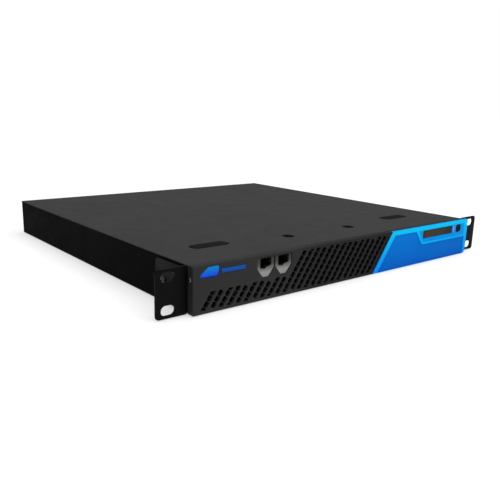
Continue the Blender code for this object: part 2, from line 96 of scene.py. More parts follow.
class Nodes:
    """A small hand for wiring a node tree."""

    def __init__(self, name):
        self.mat = bpy.data.materials.new(name)
        self.mat.use_nodes = True
        self.tree = self.mat.node_tree
        self.bsdf = self.tree.nodes["Principled BSDF"]
        self.coord = self.add("ShaderNodeTexCoord")

    def add(self, kind, **values):
        n = self.tree.nodes.new(kind)
        for k, v in values.items():
            setattr(n, k, v)
        return n

    def link(self, a, b):
        self.tree.links.new(a, b)

    def put(self, socket, value):
        if hasattr(value, "is_output"):
            self.link(value, socket)
        else:
            socket.default_value = value

    def math(self, op, a, b=None, c=None, clamp=False):
        n = self.add("ShaderNodeMath", operation=op, use_clamp=clamp)
        self.put(n.inputs[0], a)
        if b is not None:
            self.put(n.inputs[1], b)
        if c is not None:
            self.put(n.inputs[2], c)
        return n.outputs[0]

    def scaled(self, sx, sy, sz, turn=(0, 0, 0)):
        m = self.add("ShaderNodeMapping")
        self.link(self.coord.outputs["Object"], m.inputs["Vector"])
        m.inputs["Scale"].default_value = (sx, sy, sz)
        m.inputs["Rotation"].default_value = turn
        return m.outputs[0]

    def noise(self, scale, detail=3.0, rough=0.5, vector=None, distort=0.0):
        n = self.add("ShaderNodeTexNoise")
        n.inputs["Scale"].default_value = scale
        n.inputs["Detail"].default_value = detail
        n.inputs["Roughness"].default_value = rough
        n.inputs["Distortion"].default_value = distort
        self.link(vector if vector is not None else self.coord.outputs["Object"], n.inputs["Vector"])
        return n.outputs["Fac"]

    def voronoi(self, scale, vector=None, feature="F1", out="Distance", metric="EUCLIDEAN", randomness=1.0):
        n = self.add("ShaderNodeTexVoronoi", feature=feature)
        if feature != "DISTANCE_TO_EDGE":
            n.distance = metric
        n.inputs["Scale"].default_value = scale
        n.inputs["Randomness"].default_value = randomness
        self.link(vector if vector is not None else self.coord.outputs["Object"], n.inputs["Vector"])
        return n.outputs[out]

    def ramp(self, fac, stops, interp="LINEAR"):
        n = self.add("ShaderNodeValToRGB")
        n.color_ramp.interpolation = interp
        e = n.color_ramp.elements
        while len(e) < len(stops):
            e.new(0.5)
        for item, (p, c) in zip(e, stops):
            item.position = p
            item.color = c if len(c) == 4 else (*c, 1.0)
        self.put(n.inputs["Fac"], fac)
        return n.outputs["Color"]

    def grey(self, fac, a, va, b, vb):
        """fac from a to b gives a value from va to vb."""
        n = self.add("ShaderNodeMapRange")
        self.put(n.inputs["Value"], fac)
        n.inputs["From Min"].default_value = a
        n.inputs["From Max"].default_value = b
        n.inputs["To Min"].default_value = va
        n.inputs["To Max"].default_value = vb
        return n.outputs["Result"]

    def mix(self, fac, a, b, mode="MIX"):
        n = self.add("ShaderNodeMix", data_type="RGBA", blend_type=mode)
        n.clamp_factor = True
        self.put(n.inputs["Factor"], fac)
        self.put(n.inputs[6], a)
        self.put(n.inputs[7], b)
        return n.outputs[2]

    def bump(self, height, distance, strength=1.0, base=None):
        n = self.add("ShaderNodeBump")
        n.inputs["Strength"].default_value = strength
        n.inputs["Distance"].default_value = distance
        self.put(n.inputs["Height"], height)
        if base is not None:
            self.link(base, n.inputs["Normal"])
        return n.outputs["Normal"]

    def pointy(self, lo, hi):
        """0 on flats, 1 on sharp convex edges."""
        g = self.add("ShaderNodeNewGeometry")
        return self.grey(g.outputs["Pointiness"], lo, 0.0, hi, 1.0)

    def axis(self, which):
        s = self.add("ShaderNodeSeparateXYZ")
        self.link(self.coord.outputs["Object"], s.inputs[0])
        return s.outputs[which]

    def set(self, **values):
        for k, v in values.items():
            self.put(self.bsdf.inputs[k.replace("_", " ")], v)
        return self


def painted(name, colour, rough, spec=0.4, grain=900.0, depth=0.00003, strength=0.35, vary=0.10,
            edge=None, edge_amount=0.35, smudge=0.06, metal=0.0, streak=0.0):
    """Powder coat or moulded plastic: fine grain bump, slow tone drift, worn edges, smudged gloss."""
    n = Nodes(name)
    slow = n.noise(14.0, 3.0, 0.55)
    fine = n.noise(grain, 2.0, 0.6)
    base = n.ramp(slow, [(0.3, rgb(colour, 1.0 - vary)), (0.7, rgb(colour, 1.0 + vary))])
    speck = n.grey(n.noise(grain * 0.8, 1.0, 0.5), 0.35, 0.86, 0.65, 1.12)
    base = n.mix(1.0, base, speck, "MULTIPLY")
    if streak:
        lines = n.noise(1.0, 3.0, 0.6, n.scaled(4.0, 220.0, 90.0))
        base = n.mix(1.0, base, n.grey(lines, 0.3, 1.0 - streak, 0.7, 1.0 + streak), "MULTIPLY")
    if edge is not None:
        base = n.mix(n.math("MULTIPLY", n.pointy(0.515, 0.60), edge_amount, clamp=True), base, rgb(edge))
    patch = n.noise(38.0, 4.0, 0.6, distort=0.4)
    r = n.grey(patch, 0.35, rough - smudge, 0.7, rough + smudge)
    n.set(Base_Color=base, Roughness=r, Metallic=metal)
    n.set(Specular_IOR_Level=spec, Normal=n.bump(fine, depth, strength))
    return n.mat


def metallic(name, colour, rough, brush=(6.0, 500.0, 6.0), vary=0.08, depth=0.000015, spots=0.0, tint=None):
    """Bare or plated metal with a brushed grain along one direction."""
    n = Nodes(name)
    lines = n.noise(1.0, 4.0, 0.65, n.scaled(*[b * 4.0 for b in brush]))
    slow = n.noise(30.0, 3.0, 0.5)
    base = n.ramp(slow, [(0.3, rgb(colour, 1.0 - vary)), (0.7, rgb(colour, 1.0 + vary))])
    base = n.mix(1.0, base, n.grey(lines, 0.3, 0.88, 0.7, 1.08), "MULTIPLY")
    if tint is not None:
        base = n.mix(n.grey(n.noise(9.0, 2.0), 0.45, 0.0, 0.7, 0.35), base, rgb(tint))
    if spots:
        cell = n.voronoi(420.0, out="Distance")
        base = n.mix(n.math("MULTIPLY", n.grey(cell, 0.0, 1.0, 0.5, 0.0), spots), base, rgb(colour, 0.72))
    r = n.grey(lines, 0.3, rough - 0.05, 0.7, rough + 0.09)
    n.set(Base_Color=base, Roughness=r, Metallic=1.0)
    n.set(Normal=n.bump(lines, depth, 0.5))
    return n.mat


M = {}
M["cover"] = painted("charcoal_powder_coat", (53, 53, 53), 0.62, spec=0.05, grain=1100.0, depth=0.00004,
                     strength=0.30, vary=0.05, smudge=0.05)
M["steel"] = painted("black_sheet_steel", (13, 13, 14), 0.56, spec=0.02, grain=1300.0, depth=0.00002,
                     strength=0.30, vary=0.12, smudge=0.07)
M["steel"].node_tree.nodes["Principled BSDF"].inputs["IOR"].default_value = 1.22
M["ear"] = painted("black_ear_coat", (9, 9, 10), 0.50, spec=0.05, grain=1300.0, depth=0.00002,
                   strength=0.25, vary=0.12, smudge=0.08)
M["black"] = painted("black_moulded_plastic", (13, 13, 14), 0.42, spec=0.22, grain=1400.0, depth=0.000015,
                     strength=0.25, vary=0.06, edge=(52, 52, 56), edge_amount=0.20, smudge=0.05)
M["soft_black"] = painted("black_nylon", (18, 18, 19), 0.60, spec=0.20, grain=1200.0, depth=0.00002,
                          strength=0.30, vary=0.08, smudge=0.05)
# dark pad for the thumb recesses: painted shade standing for the shadow inside them
M["rubber"] = painted("black_grip_rubber", (33, 33, 34), 0.78, spec=0.04, grain=1500.0, depth=0.00002, strength=0.35, vary=0.12)
M["pit"] = painted("matt_near_black", (7, 7, 8), 0.72, spec=0.05, grain=1500.0, depth=0.00002, strength=0.3, vary=0.12)


def bezel_plastic():
    """Moulded charcoal plastic: fine grain, slow drift, and painted shade darkening it towards the accent panel along
    the perforated run.
    """
    n = Nodes("moulded_charcoal_plastic")
    # painted shade: the base colour darkens from the left of the front towards the accent panel
    run_painted_shade = n.ramp(n.grey(n.axis("X"), -0.210, 0.0, 0.060, 1.0),
                   [(0.40, (1.0, 1.0, 1.0, 1.0)), (0.56, (0.62, 0.62, 0.62, 1.0)), (0.95, (0.40, 0.40, 0.40, 1.0))])
    base = n.ramp(n.noise(14.0, 3.0, 0.55), [(0.3, rgb((40, 40, 41), 0.95)), (0.7, rgb((40, 40, 41), 1.05))])
    base = n.mix(1.0, base, n.grey(n.noise(1200.0, 1.0), 0.35, 0.88, 0.65, 1.10), "MULTIPLY")
    base = n.mix(1.0, base, run_painted_shade, "MULTIPLY")
    n.set(Base_Color=base, Roughness=n.grey(n.noise(38.0, 4.0, 0.6, distort=0.4), 0.35, 0.50, 0.7, 0.60))
    n.set(Normal=n.bump(n.noise(1500.0, 2.0, 0.6), 0.00002, 0.3))
    n.bsdf.inputs["Specular IOR Level"].default_value = 0.08
    return n.mat


M["bezel"] = bezel_plastic()
M["zinc"] = metallic("zinc_plated_steel", (172, 176, 180), 0.34, (8.0, 8.0, 140.0), 0.06, spots=0.35, tint=(150, 160, 178))
M["dark_screw"] = metallic("black_oxide_screw", (70, 70, 73), 0.38, (60.0, 60.0, 60.0), 0.10)
M["nickel"] = metallic("nickel_plate", (198, 196, 190), 0.27, (140.0, 6.0, 6.0), 0.06)
M["alu"] = metallic("extruded_aluminium", (190, 192, 196), 0.36, (40.0, 2.0, 140.0), 0.05)
def jack_plate():
    """Satin plated face of a jack, with a painted highlight band low down and painted shade darkening it towards its
    top.
    """
    n = Nodes("satin_jack_plate")
    lines = n.noise(1.0, 4.0, 0.65, n.scaled(560.0, 24.0, 24.0))
    rise = n.math("DIVIDE", n.math("SUBTRACT", n.axis("Z"), 0.022), 0.0192, clamp=True)
    # painted highlight near the bottom of the face, painted shade towards its top
    base = n.ramp(rise, [(0.0, rgb((118, 117, 114))), (0.10, rgb((138, 137, 134))), (0.24, rgb((148, 147, 144))), (0.44, rgb((112, 111, 109))), (0.66, rgb((74, 74, 72))), (1.0, rgb((52, 52, 51)))])
    base = n.mix(1.0, base, n.grey(lines, 0.3, 0.88, 0.7, 1.08), "MULTIPLY")
    n.set(Base_Color=base, Roughness=n.grey(lines, 0.3, 0.36, 0.7, 0.48), Metallic=1.0)
    n.set(Normal=n.bump(lines, 0.000015, 0.5))
    return n.mat


M["jack_face"] = jack_plate()
M["gold"] = metallic("gold_contact", (236, 190, 96), 0.24, (60.0, 60.0, 6.0), 0.06)
M["brass"] = metallic("brass", (206, 170, 96), 0.32, (60.0, 60.0, 6.0), 0.08)
M["tin"] = metallic("tinned_lead", (190, 192, 196), 0.38, (60.0, 60.0, 60.0), 0.08)


# ================================================================ shapes, in mm
def box(x0, x1, y0, y1, z0, z1):
    def make(bm):
        m = Matrix.Translation(((x0 + x1) / 2, (y0 + y1) / 2, (z0 + z1) / 2))
        m = m @ Matrix.Diagonal((abs(x1 - x0), abs(y1 - y0), abs(z1 - z0), 1.0))
        bmesh.ops.create_cube(bm, size=1.0, matrix=m)
    return make


def rbox(x0, x1, y0, y1, z0, z1, r=0.3, seg=2):
    """Box with every edge rounded."""
    def make(bm):
        old = set(bm.verts)
        box(x0, x1, y0, y1, z0, z1)(bm)
        edges = [e for e in bm.edges if e.verts[0] not in old and e.verts[1] not in old]
        bmesh.ops.bevel(bm, geom=edges, offset=r, segments=seg, profile=0.5, affect="EDGES", clamp_overlap=True)
    return make


TURN = {"x": Matrix.Rotation(math.pi / 2, 4, "Y"), "y": Matrix.Rotation(-math.pi / 2, 4, "X"), "z": Matrix.Identity(4)}


def cyl(axis, c, r, a0, a1, seg=24, r2=None):
    def make(bm):
        mid = list(c)
        mid["xyz".index(axis)] = (a0 + a1) / 2
        bmesh.ops.create_cone(bm, cap_ends=True, segments=seg, radius1=r, radius2=r if r2 is None else r2,
                              depth=abs(a1 - a0), matrix=Matrix.Translation(mid) @ TURN[axis])
    return make


def lathe(axis, c, profile, seg=24):
    """Closed body of revolution: profile is (radius, place along the axis) from one end to the other."""
    def make(bm):
        k = "xyz".index(axis)
        u, v = [i for i in range(3) if i != k]
        rings = []
        for r, a in profile:
            if r < 1e-6:
                p = list(c)
                p[k] = a
                rings.append([bm.verts.new(p)])
            else:
                ring = []
                for i in range(seg):
                    t = 2 * math.pi * i / seg
                    p = [0.0, 0.0, 0.0]
                    p[k] = a
                    p[u] = c[u] + r * math.cos(t)
                    p[v] = c[v] + r * math.sin(t)
                    ring.append(bm.verts.new(p))
                rings.append(ring)
        made = []
        for a, b in zip(rings, rings[1:]):
            for i in range(seg):
                j = (i + 1) % seg
                if len(a) == 1 and len(b) == 1:
                    continue
                if len(a) == 1:
                    made.append(bm.faces.new((a[0], b[j], b[i])))
                elif len(b) == 1:
                    made.append(bm.faces.new((a[i], a[j], b[0])))
                else:
                    made.append(bm.faces.new((a[i], a[j], b[j], b[i])))
        for ring in (rings[0], rings[-1]):
            if len(ring) > 1:
                made.append(bm.faces.new(ring))
        bmesh.ops.recalc_face_normals(bm, faces=made)
    return make


def at_axis(axis, p, a):
    return {"y": (p[0], a, p[1]), "z": (p[0], p[1], a), "x": (a, p[0], p[1])}[axis]


def prism(axis, pts, a0, a1):
    """Flat outline extruded along an axis: (x, z) for y, (x, y) for z, (y, z) for x."""
    def make(bm):
        face = bm.faces.new([bm.verts.new(at_axis(axis, p, a0)) for p in pts])
        out = bmesh.ops.extrude_face_region(bm, geom=[face])
        step = Vector(at_axis(axis, (0, 0), a1)) - Vector(at_axis(axis, (0, 0), a0))
        bmesh.ops.translate(bm, vec=step, verts=[g for g in out["geom"] if isinstance(g, bmesh.types.BMVert)])
    return make


def turned(shape, matrix):
    def make(bm):
        old = set(bm.verts)
        shape(bm)
        bmesh.ops.transform(bm, matrix=matrix, verts=[v for v in bm.verts if v not in old])
    return make


def moved(shape, x=0.0, y=0.0, z=0.0):
    return turned(shape, Matrix.Translation((x, y, z)))


def tinted(index, *shapes):
    """Shapes whose faces take material number index."""
    def make(bm):
        old = set(bm.faces)
        for s in shapes:
            s(bm)
        for f in bm.faces:
            if f not in old:
                f.material_index = index
    return make


def several(*shapes):
    def make(bm):
        for s in shapes:
            s(bm)
    return make


def round_rect(u0, u1, v0, v1, r, n=4):
    pts = []
    for cu, cv, a in ((u1 - r, v1 - r, 0), (u0 + r, v1 - r, 90), (u0 + r, v0 + r, 180), (u1 - r, v0 + r, 270)):
        for i in range(n + 1):
            t = math.radians(a + 90.0 * i / n)
            pts.append((cu + r * math.cos(t), cv + r * math.sin(t)))
    return pts


def area(pts):
    return 0.5 * sum(a[0] * b[1] - b[0] * a[1] for a, b in zip(pts, pts[1:] + pts[:1]))


def rounded(pts, r, n=3):
    """Outline with its corners rounded; r is one radius or one for each corner."""
    rs = r if isinstance(r, (list, tuple)) else [r] * len(pts)
    out = []
    m = len(pts)
    for i in range(m):
        p = Vector(pts[i])
        a = Vector(pts[i - 1]) - p
        b = Vector(pts[(i + 1) % m]) - p
        ri = rs[i]
        if ri <= 0:
            out.append((p.x, p.y))
            continue
        ang = a.angle(b)
        t = min(ri / math.tan(ang / 2), a.length * 0.48, b.length * 0.48)
        pa, pb = p + a.normalized() * t, p + b.normalized() * t
        for j in range(n + 1):
            s = j / n
            q = pa * (1 - s) ** 2 + p * 2 * s * (1 - s) + pb * s * s
            out.append((q.x, q.y))
    return out


def offset(pts, d):
    """Closed outline moved inwards by d (outwards if d is negative), with mitred corners."""
    if abs(d) < 1e-9:
        return list(pts)
    sign = 1.0 if area(pts) > 0 else -1.0
    out = []
    m = len(pts)
    for i in range(m):
        p0, p1, p2 = Vector(pts[i - 1]), Vector(pts[i]), Vector(pts[(i + 1) % m])
        e1, e2 = (p1 - p0), (p2 - p1)
        if e1.length < 1e-9 or e2.length < 1e-9:
            out.append((p1.x, p1.y))
            continue
        e1.normalize()
        e2.normalize()
        n1 = Vector((-e1.y, e1.x)) * sign
        n2 = Vector((-e2.y, e2.x)) * sign
        k = n1 + n2
        if k.length < 1e-6:
            k = n1.copy()
        k.normalize()
        c = max(0.3, k.dot(n1))
        q = p1 + k * (d / c)
        out.append((q.x, q.y))
    return out


def fillet(r, n=3):
    """Steps (inset, depth) of a quarter round."""
    return [(r * (1 - math.sin(math.pi / 2 * i / n)), r * (1 - math.cos(math.pi / 2 * i / n))) for i in range(n + 1)]


def ring_walls(bm, loops, flip=False):
    made = []
    for a, b in zip(loops, loops[1:]):
        m = len(a)
        for i in range(m):
            j = (i + 1) % m
            q = (a[i], a[j], b[j], b[i])
            made.append(bm.faces.new(q if not flip else q[::-1]))
    return made


def cap(bm, outer, holes=()):
    """Flat face with holes between loops of vertices."""
    loops = [list(outer)] + [list(h) for h in holes]
    flat = [v for l in loops for v in l]
    if not holes and len(outer) < 5:
        return [bm.faces.new(outer)]
    made = []
    for tri in tessellate_polygon([[v.co for v in l] for l in loops]):
        vs = [flat[i] for i in tri]
        if len(set(vs)) == 3:
            try:
                made.append(bm.faces.new(vs))
            except ValueError:
                pass
    return made


def plate(axis, outline, a0, a1, holes=(), pockets=(), edge=((0.0, 0.0),), hole_edge=((0.0, 0.0),), back_edge=0.0,
          rim=None):
    """A flat part with rounded front edges.

    outline and holes are loops; the front face is at a0 and the back at a1 along the axis.
    edge and hole_edge list (inset, depth) steps from the front face. pockets are
    (outline, depth, steps), sunk into the front face. rim = (thickness, a2) makes a tray:
    the outer wall goes on to a2 and the wall has that thickness.
    """
    def make(bm):
        sg = 1.0 if a1 > a0 else -1.0
        made = []

        def loop(pts, a):
            return [bm.verts.new(at_axis(axis, p, a)) for p in pts]

        outer = [loop(offset(outline, i), a0 + sg * d) for i, d in edge]
        front_outer = outer[0]
        front_holes, back_holes = [], []
        for h in holes:
            steps = [loop(offset(h, -i), a0 + sg * d) for i, d in hole_edge]
            end = loop(h, a1)
            made.extend(ring_walls(bm, steps + [end]))
            front_holes.append(steps[0])
            back_holes.append(end)
        for h, depth, steps in pockets:
            rings = [loop(offset(h, -i), a0 + sg * d) for i, d in steps]
            floor = loop(h, a0 + sg * depth)
            made.extend(ring_walls(bm, rings + [floor]))
            made.extend(cap(bm, floor))
            front_holes.append(rings[0])
        made.extend(cap(bm, front_outer, front_holes))
        if rim is None:
            if back_edge:
                tail = [loop(outline, a1 - sg * back_edge), loop(offset(outline, back_edge), a1)]
            else:
                tail = [loop(outline, a1)]
            back = tail[-1]
        else:
            thick, a2 = rim
            inner = offset(outline, thick)
            tail = [loop(outline, a2 - sg * 0.3), loop(offset(outline, 0.3), a2), loop(inner, a2)]
            back = loop(inner, a1)
            tail.append(back)
        made.extend(ring_walls(bm, outer + tail))
        made.extend(cap(bm, back, back_holes))
        bmesh.ops.recalc_face_normals(bm, faces=made)
    return make


def sweep(pts, r, seg=10, taper=None, flat=1.0):
    """Closed round tube along points."""
    def make(bm):
        ps = [Vector(p) for p in pts]
        tan = []
        for i in range(len(ps)):
            t = ps[min(i + 1, len(ps) - 1)] - ps[max(i - 1, 0)]
            tan.append(t.normalized())
        up = Vector((0, 0, 1)) if abs(tan[0].z) < 0.9 else Vector((1, 0, 0))
        nrm = (up - tan[0] * up.dot(tan[0])).normalized()
        rings = []
        for i, (p, t) in enumerate(zip(ps, tan)):
            nrm = (nrm - t * nrm.dot(t)).normalized()
            b = t.cross(nrm)
            rr = r * (taper(i / (len(ps) - 1)) if taper else 1.0)
            rings.append([bm.verts.new(p + (nrm * math.cos(2 * math.pi * k / seg) * flat + b * math.sin(2 * math.pi * k / seg)) * rr)
                          for k in range(seg)])
        made = ring_walls(bm, rings)
        made.append(bm.faces.new(rings[0]))
        made.append(bm.faces.new(rings[-1]))
        bmesh.ops.recalc_face_normals(bm, faces=made)
    return make


def smooth_route(knots, n=6):
    pts = [knots[0]] + list(knots) + [knots[-1]]
    out = []
    for i in range(1, len(pts) - 2):
        p0, p1, p2, p3 = (Vector(p) for p in pts[i - 1:i + 3])
        for j in range(n):
            t = j / n
            out.append(0.5 * ((2 * p1) + (p2 - p0) * t + (2 * p0 - 5 * p1 + 4 * p2 - p3) * t * t
                              + (3 * p1 - p0 - 3 * p2 + p3) * t ** 3))
    out.append(Vector(knots[-1]))
    return out


def raw_mesh(shapes):
    bm = bmesh.new()
    for s in shapes:
        s(bm)
    bmesh.ops.recalc_face_normals(bm, faces=bm.faces)
    me = bpy.data.meshes.new("raw")
    bm.to_mesh(me)
    bm.free()
    return me


def carved(base, steps=(), bevel=0.0, seg=2, angle=40.0, index=0):
    """A shape made by adding ("+") and taking away ("-") groups of shapes, its sharp edges then rounded."""
    def make(bm):
        ob = bpy.data.objects.new("tmp_base", raw_mesh([base] if callable(base) else base))
        SCENE.collection.objects.link(ob)
        tools = [ob]
        for sign, group in steps:
            cut = bpy.data.objects.new("tmp_tool", raw_mesh(group))
            SCENE.collection.objects.link(cut)
            tools.append(cut)
            mod = ob.modifiers.new("b", "BOOLEAN")
            mod.operation = "UNION" if sign == "+" else "DIFFERENCE"
            mod.solver = "EXACT"
            mod.object = cut
        if bevel:
            mod = ob.modifiers.new("e", "BEVEL")
            mod.width = bevel
            mod.segments = seg
            mod.limit_method = "ANGLE"
            mod.angle_limit = math.radians(angle)
            mod.use_clamp_overlap = True
        dg = bpy.context.evaluated_depsgraph_get()
        me = bpy.data.meshes.new_from_object(ob.evaluated_get(dg))
        old = set(bm.faces)
        bm.from_mesh(me)
        for f in bm.faces:
            if f not in old:
                f.material_index = index
        for t in tools:
            data = t.data
            bpy.data.objects.remove(t)
            bpy.data.meshes.remove(data)
        bpy.data.meshes.remove(me)
    return make


PIECES = {}


def piece(name, body, mats, shapes, replaces=(), sharp=35.0, weighted=True):
    """A shown mesh: built in mm, turned into the row frame, riding on a body."""
    bm = bmesh.new()
    for s in shapes:
        s(bm)
    bmesh.ops.translate(bm, vec=(0.0, -HALF_DEPTH, 0.0), verts=bm.verts)
    bmesh.ops.scale(bm, vec=(MM, MM, MM), verts=bm.verts)
    me = bpy.data.meshes.new(name)
    bm.to_mesh(me)
    bm.free()
    for m in mats:
        me.materials.append(M[m] if isinstance(m, str) else m)
    me.shade_smooth()
    me.set_sharp_from_angle(angle=math.radians(sharp))
    ob = bpy.data.objects.new(name, me)
    SCENE.collection.objects.link(ob)
    if weighted:
        w = ob.modifiers.new("normals", "WEIGHTED_NORMAL")
        w.keep_sharp = True
    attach(ob, body)
    if replaces:
        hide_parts(*replaces)
    PIECES[name] = ob
    return ob


def cross_screw(axis, c, r, base, top, seg=28, recess=0.62, deep=0.55):
    """Pan head with a cross recess, standing from base to top along an axis."""
    s = 1.0 if top > base else -1.0
    h = abs(top - base)
    k = "xyz".index(axis)
    prof = [(0.0, base), (r, base), (r, base + s * h * 0.35), (r * 0.93, base + s * h * 0.68), (r * 0.74, base + s * h * 0.9),
            (r * 0.45, top), (0.0, top)]
    a, b = sorted((top - s * h * deep, top + s * 2.0))
    u, v = [i for i in range(3) if i != k]
    bars = []
    for wide, tall in ((r * recess, r * 0.13), (r * 0.13, r * recess)):
        lo, hi = [0.0] * 3, [0.0] * 3
        lo[k], hi[k] = a, b
        lo[u], hi[u] = c[u] - wide, c[u] + wide
        lo[v], hi[v] = c[v] - tall, c[v] + tall
        bars.append(box(lo[0], hi[0], lo[1], hi[1], lo[2], hi[2]))
    return carved(lathe(axis, c, prof, seg), [("-", [bars[0]]), ("-", [bars[1]])])


# ================================================================ driving numbers, as in the CAD
SLANT_X0, SLANT = 26.6, 0.703
LINE_X0, LINE_PITCH = -107.5, 9.46
JACKS = (("left", -128.8), ("right", -106.7))
SCREW_X, RECESS_X = (-54.5, 40.0), (-149.0, 138.0)
BODY_HALF, BEZ_H, SHEET = 208.5, 210.0, 1.2


def slant(z):
    return SLANT_X0 + SLANT * z


# ================================================================ materials of the front
def accent(name, top, bottom, rough, spec, console=None):
    """Moulded blue with painted light from above: lighter at the top edge, with painted shade deepening it towards the
    bottom one.
    """
    n = Nodes(name)
    # painted light: the colour runs from the lit top edge to the shaded bottom edge
    z = n.math("DIVIDE", n.axis("Z"), 0.044, clamp=True)
    z = n.math("ADD", z, n.grey(n.noise(26.0, 3.0, 0.5), 0.3, -0.06, 0.7, 0.06))
    mid = tuple((a + b) / 2 for a, b in zip(top, bottom))
    base = n.ramp(z, [(0.04, rgb(bottom)), (0.5, rgb(mid)), (0.95, rgb(top))])
    if console is not None:
        # face of the console: right of its slanted end, above the ledge, inside the rim
        x, zz = n.axis("X"), n.axis("Z")
        run = n.math("ADD", x, n.math("MULTIPLY", zz, 0.66))
        inside = n.math("MULTIPLY", n.grey(run, 0.1318, 0.0, 0.1332, 1.0), n.grey(x, 0.2020, 1.0, 0.2034, 0.0))
        inside = n.math("MULTIPLY", inside, n.grey(zz, 0.0246, 0.0, 0.0254, 1.0))
        inside = n.math("MULTIPLY", inside, n.grey(zz, 0.0388, 1.0, 0.0400, 0.0))
        base = n.mix(n.math("MULTIPLY", inside, 0.85), base, rgb(console))
    speck = n.grey(n.noise(1300.0, 1.0, 0.5), 0.35, 0.94, 0.65, 1.05)
    base = n.mix(1.0, base, speck, "MULTIPLY")
    r = n.grey(n.noise(40.0, 4.0, 0.6, distort=0.3), 0.35, rough - 0.05, 0.7, rough + 0.06)
    n.set(Base_Color=base, Roughness=r)
    n.set(Specular_IOR_Level=spec, Normal=n.bump(n.noise(1500.0, 2.0, 0.6), 0.00002, 0.25))
    return n.mat


# lit and shaded copies of one moulded blue: the rim and the ledge carry a brighter painted highlight
M["blue_rim"] = accent("accent_blue_rim_painted_highlight", (0, 184, 230), (0, 132, 232), 0.50, 0.02, console=(0, 128, 208))
M["blue_field"] = accent("accent_blue_field", (0, 112, 198), (0, 90, 180), 0.54, 0.02)
M["blue_side"] = accent("accent_blue_edge", (0, 140, 225), (0, 100, 200), 0.50, 0.03)


def smoked_window():
    """Smoked acrylic over a small display: brown at the left, olive through the middle, faint rows of cells."""
    n = Nodes("smoked_acrylic")
    x = n.math("DIVIDE", n.math("SUBTRACT", n.axis("X"), 0.1158), 0.0602, clamp=True)
    x = n.math("ADD", x, n.grey(n.noise(70.0, 2.0), 0.3, -0.05, 0.7, 0.05))
    glow = n.ramp(x, [(0.0, rgb((36, 10, 3))), (0.10, rgb((62, 24, 5))), (0.34, rgb((46, 35, 5))),
                      (0.66, rgb((30, 32, 5))), (0.84, rgb((15, 11, 5))), (1.0, rgb((7, 5, 4)))])
    cells = n.add("ShaderNodeTexBrick")
    cells.offset, cells.squash = 0.0, 1.0
    n.link(n.scaled(1.0, 1.0, 1.0, (math.pi / 2, 0, 0)), cells.inputs["Vector"])
    cells.inputs["Scale"].default_value = 1.0
    cells.inputs["Brick Width"].default_value = 0.0031
    cells.inputs["Row Height"].default_value = 0.0042
    cells.inputs["Mortar Size"].default_value = 0.00028
    cells.inputs["Color1"].default_value = (1.22, 1.22, 1.22, 1)
    cells.inputs["Color2"].default_value = (1.10, 1.10, 1.10, 1)
    cells.inputs["Mortar"].default_value = (0.72, 0.72, 0.72, 1)
    base = n.mix(1.0, glow, cells.outputs["Color"], "MULTIPLY")
    n.set(Base_Color=base, Roughness=n.grey(n.noise(60.0, 3.0), 0.35, 0.10, 0.7, 0.20))
    n.bsdf.inputs["Coat Weight"].default_value = 0.04
    n.bsdf.inputs["Coat Roughness"].default_value = 0.08
    n.bsdf.inputs["Specular IOR Level"].default_value = 0.08
    return n.mat


def light_bar():
    n = Nodes("lilac_light_guide")
    z = n.math("DIVIDE", n.math("SUBTRACT", n.axis("Z"), 0.0297), 0.0088, clamp=True)
    base = n.ramp(z, [(0.0, rgb((96, 88, 170))), (0.5, rgb((150, 142, 228))), (1.0, rgb((120, 112, 200)))])
    base = n.mix(1.0, base, n.grey(n.noise(600.0, 2.0), 0.35, 0.92, 0.65, 1.06), "MULTIPLY")
    n.set(Base_Color=base, Roughness=n.grey(n.noise(90.0, 3.0), 0.35, 0.24, 0.7, 0.36))
    n.set(Emission_Color=base)
    n.bsdf.inputs["Emission Strength"].default_value = 0.12
    return n.mat


def badge(name, top, bottom, z0, z1):
    n = Nodes(name)
    z = n.math("DIVIDE", n.math("SUBTRACT", n.axis("Z"), z0 * MM), (z1 - z0) * MM, clamp=True)
    base = n.ramp(z, [(0.0, rgb(bottom)), (1.0, rgb(top))])
    flake = n.grey(n.voronoi(2600.0, out="Color"), 0.2, 0.92, 0.8, 1.08)
    base = n.mix(1.0, base, flake, "MULTIPLY")
    n.set(Base_Color=base, Roughness=n.grey(n.noise(80.0, 3.0), 0.35, 0.22, 0.7, 0.34))
    n.set(Normal=n.bump(n.noise(900.0, 2.0), 0.00001, 0.3))
    n.bsdf.inputs["Specular IOR Level"].default_value = 0.08
    n.bsdf.inputs["Coat Weight"].default_value = 0.03
    n.bsdf.inputs["Coat Roughness"].default_value = 0.2
    return n.mat


M["window"] = smoked_window()
M["lilac"] = light_bar()
M["button"] = painted("button_black", (5, 5, 7), 0.50, spec=0.06, grain=1400.0, depth=0.000015, strength=0.25, vary=0.10)
M["emblem"] = badge("badge_dome", (0, 122, 190), (0, 50, 214), 32.4, 41.9)
M["bar"] = badge("badge_bar_enamel", (4, 78, 160), (2, 60, 136), 34.3, 38.2)

# ================================================================ bezel
# Perforation: rows of oblong six-sided openings that follow the slant of the accent panel.
LINE_STEP = 5.0                    # opening to opening along a line, measured in z
SHIFT = 1.96                       # each next line starts this much lower: half a step along the slant
FIRST_Z = 39.1                     # an opening's centre on line 0
LEAN = math.atan(SLANT)            # lines lean this far from the vertical
HOLE_W, HOLE_L = 4.7, 6.05


def clipped(pts, a, b, c):
    """Part of a convex outline where a x + b z <= c."""
    out = []
    for p, q in zip(pts, pts[1:] + pts[:1]):
        dp, dq = a * p[0] + b * p[1] - c, a * q[0] + b * q[1] - c
        if dp <= 0:
            out.append(p)
        if dp * dq < 0:
            t = dp / (dp - dq)
            out.append((p[0] + (q[0] - p[0]) * t, p[1] + (q[1] - p[1]) * t))
    return out


def merged(pts, least=0.25):
    out = []
    for p in pts:
        if not out or math.dist(p, out[-1]) > least:
            out.append(p)
    while len(out) > 2 and math.dist(out[0], out[-1]) <= least:
        out.pop()
    return out


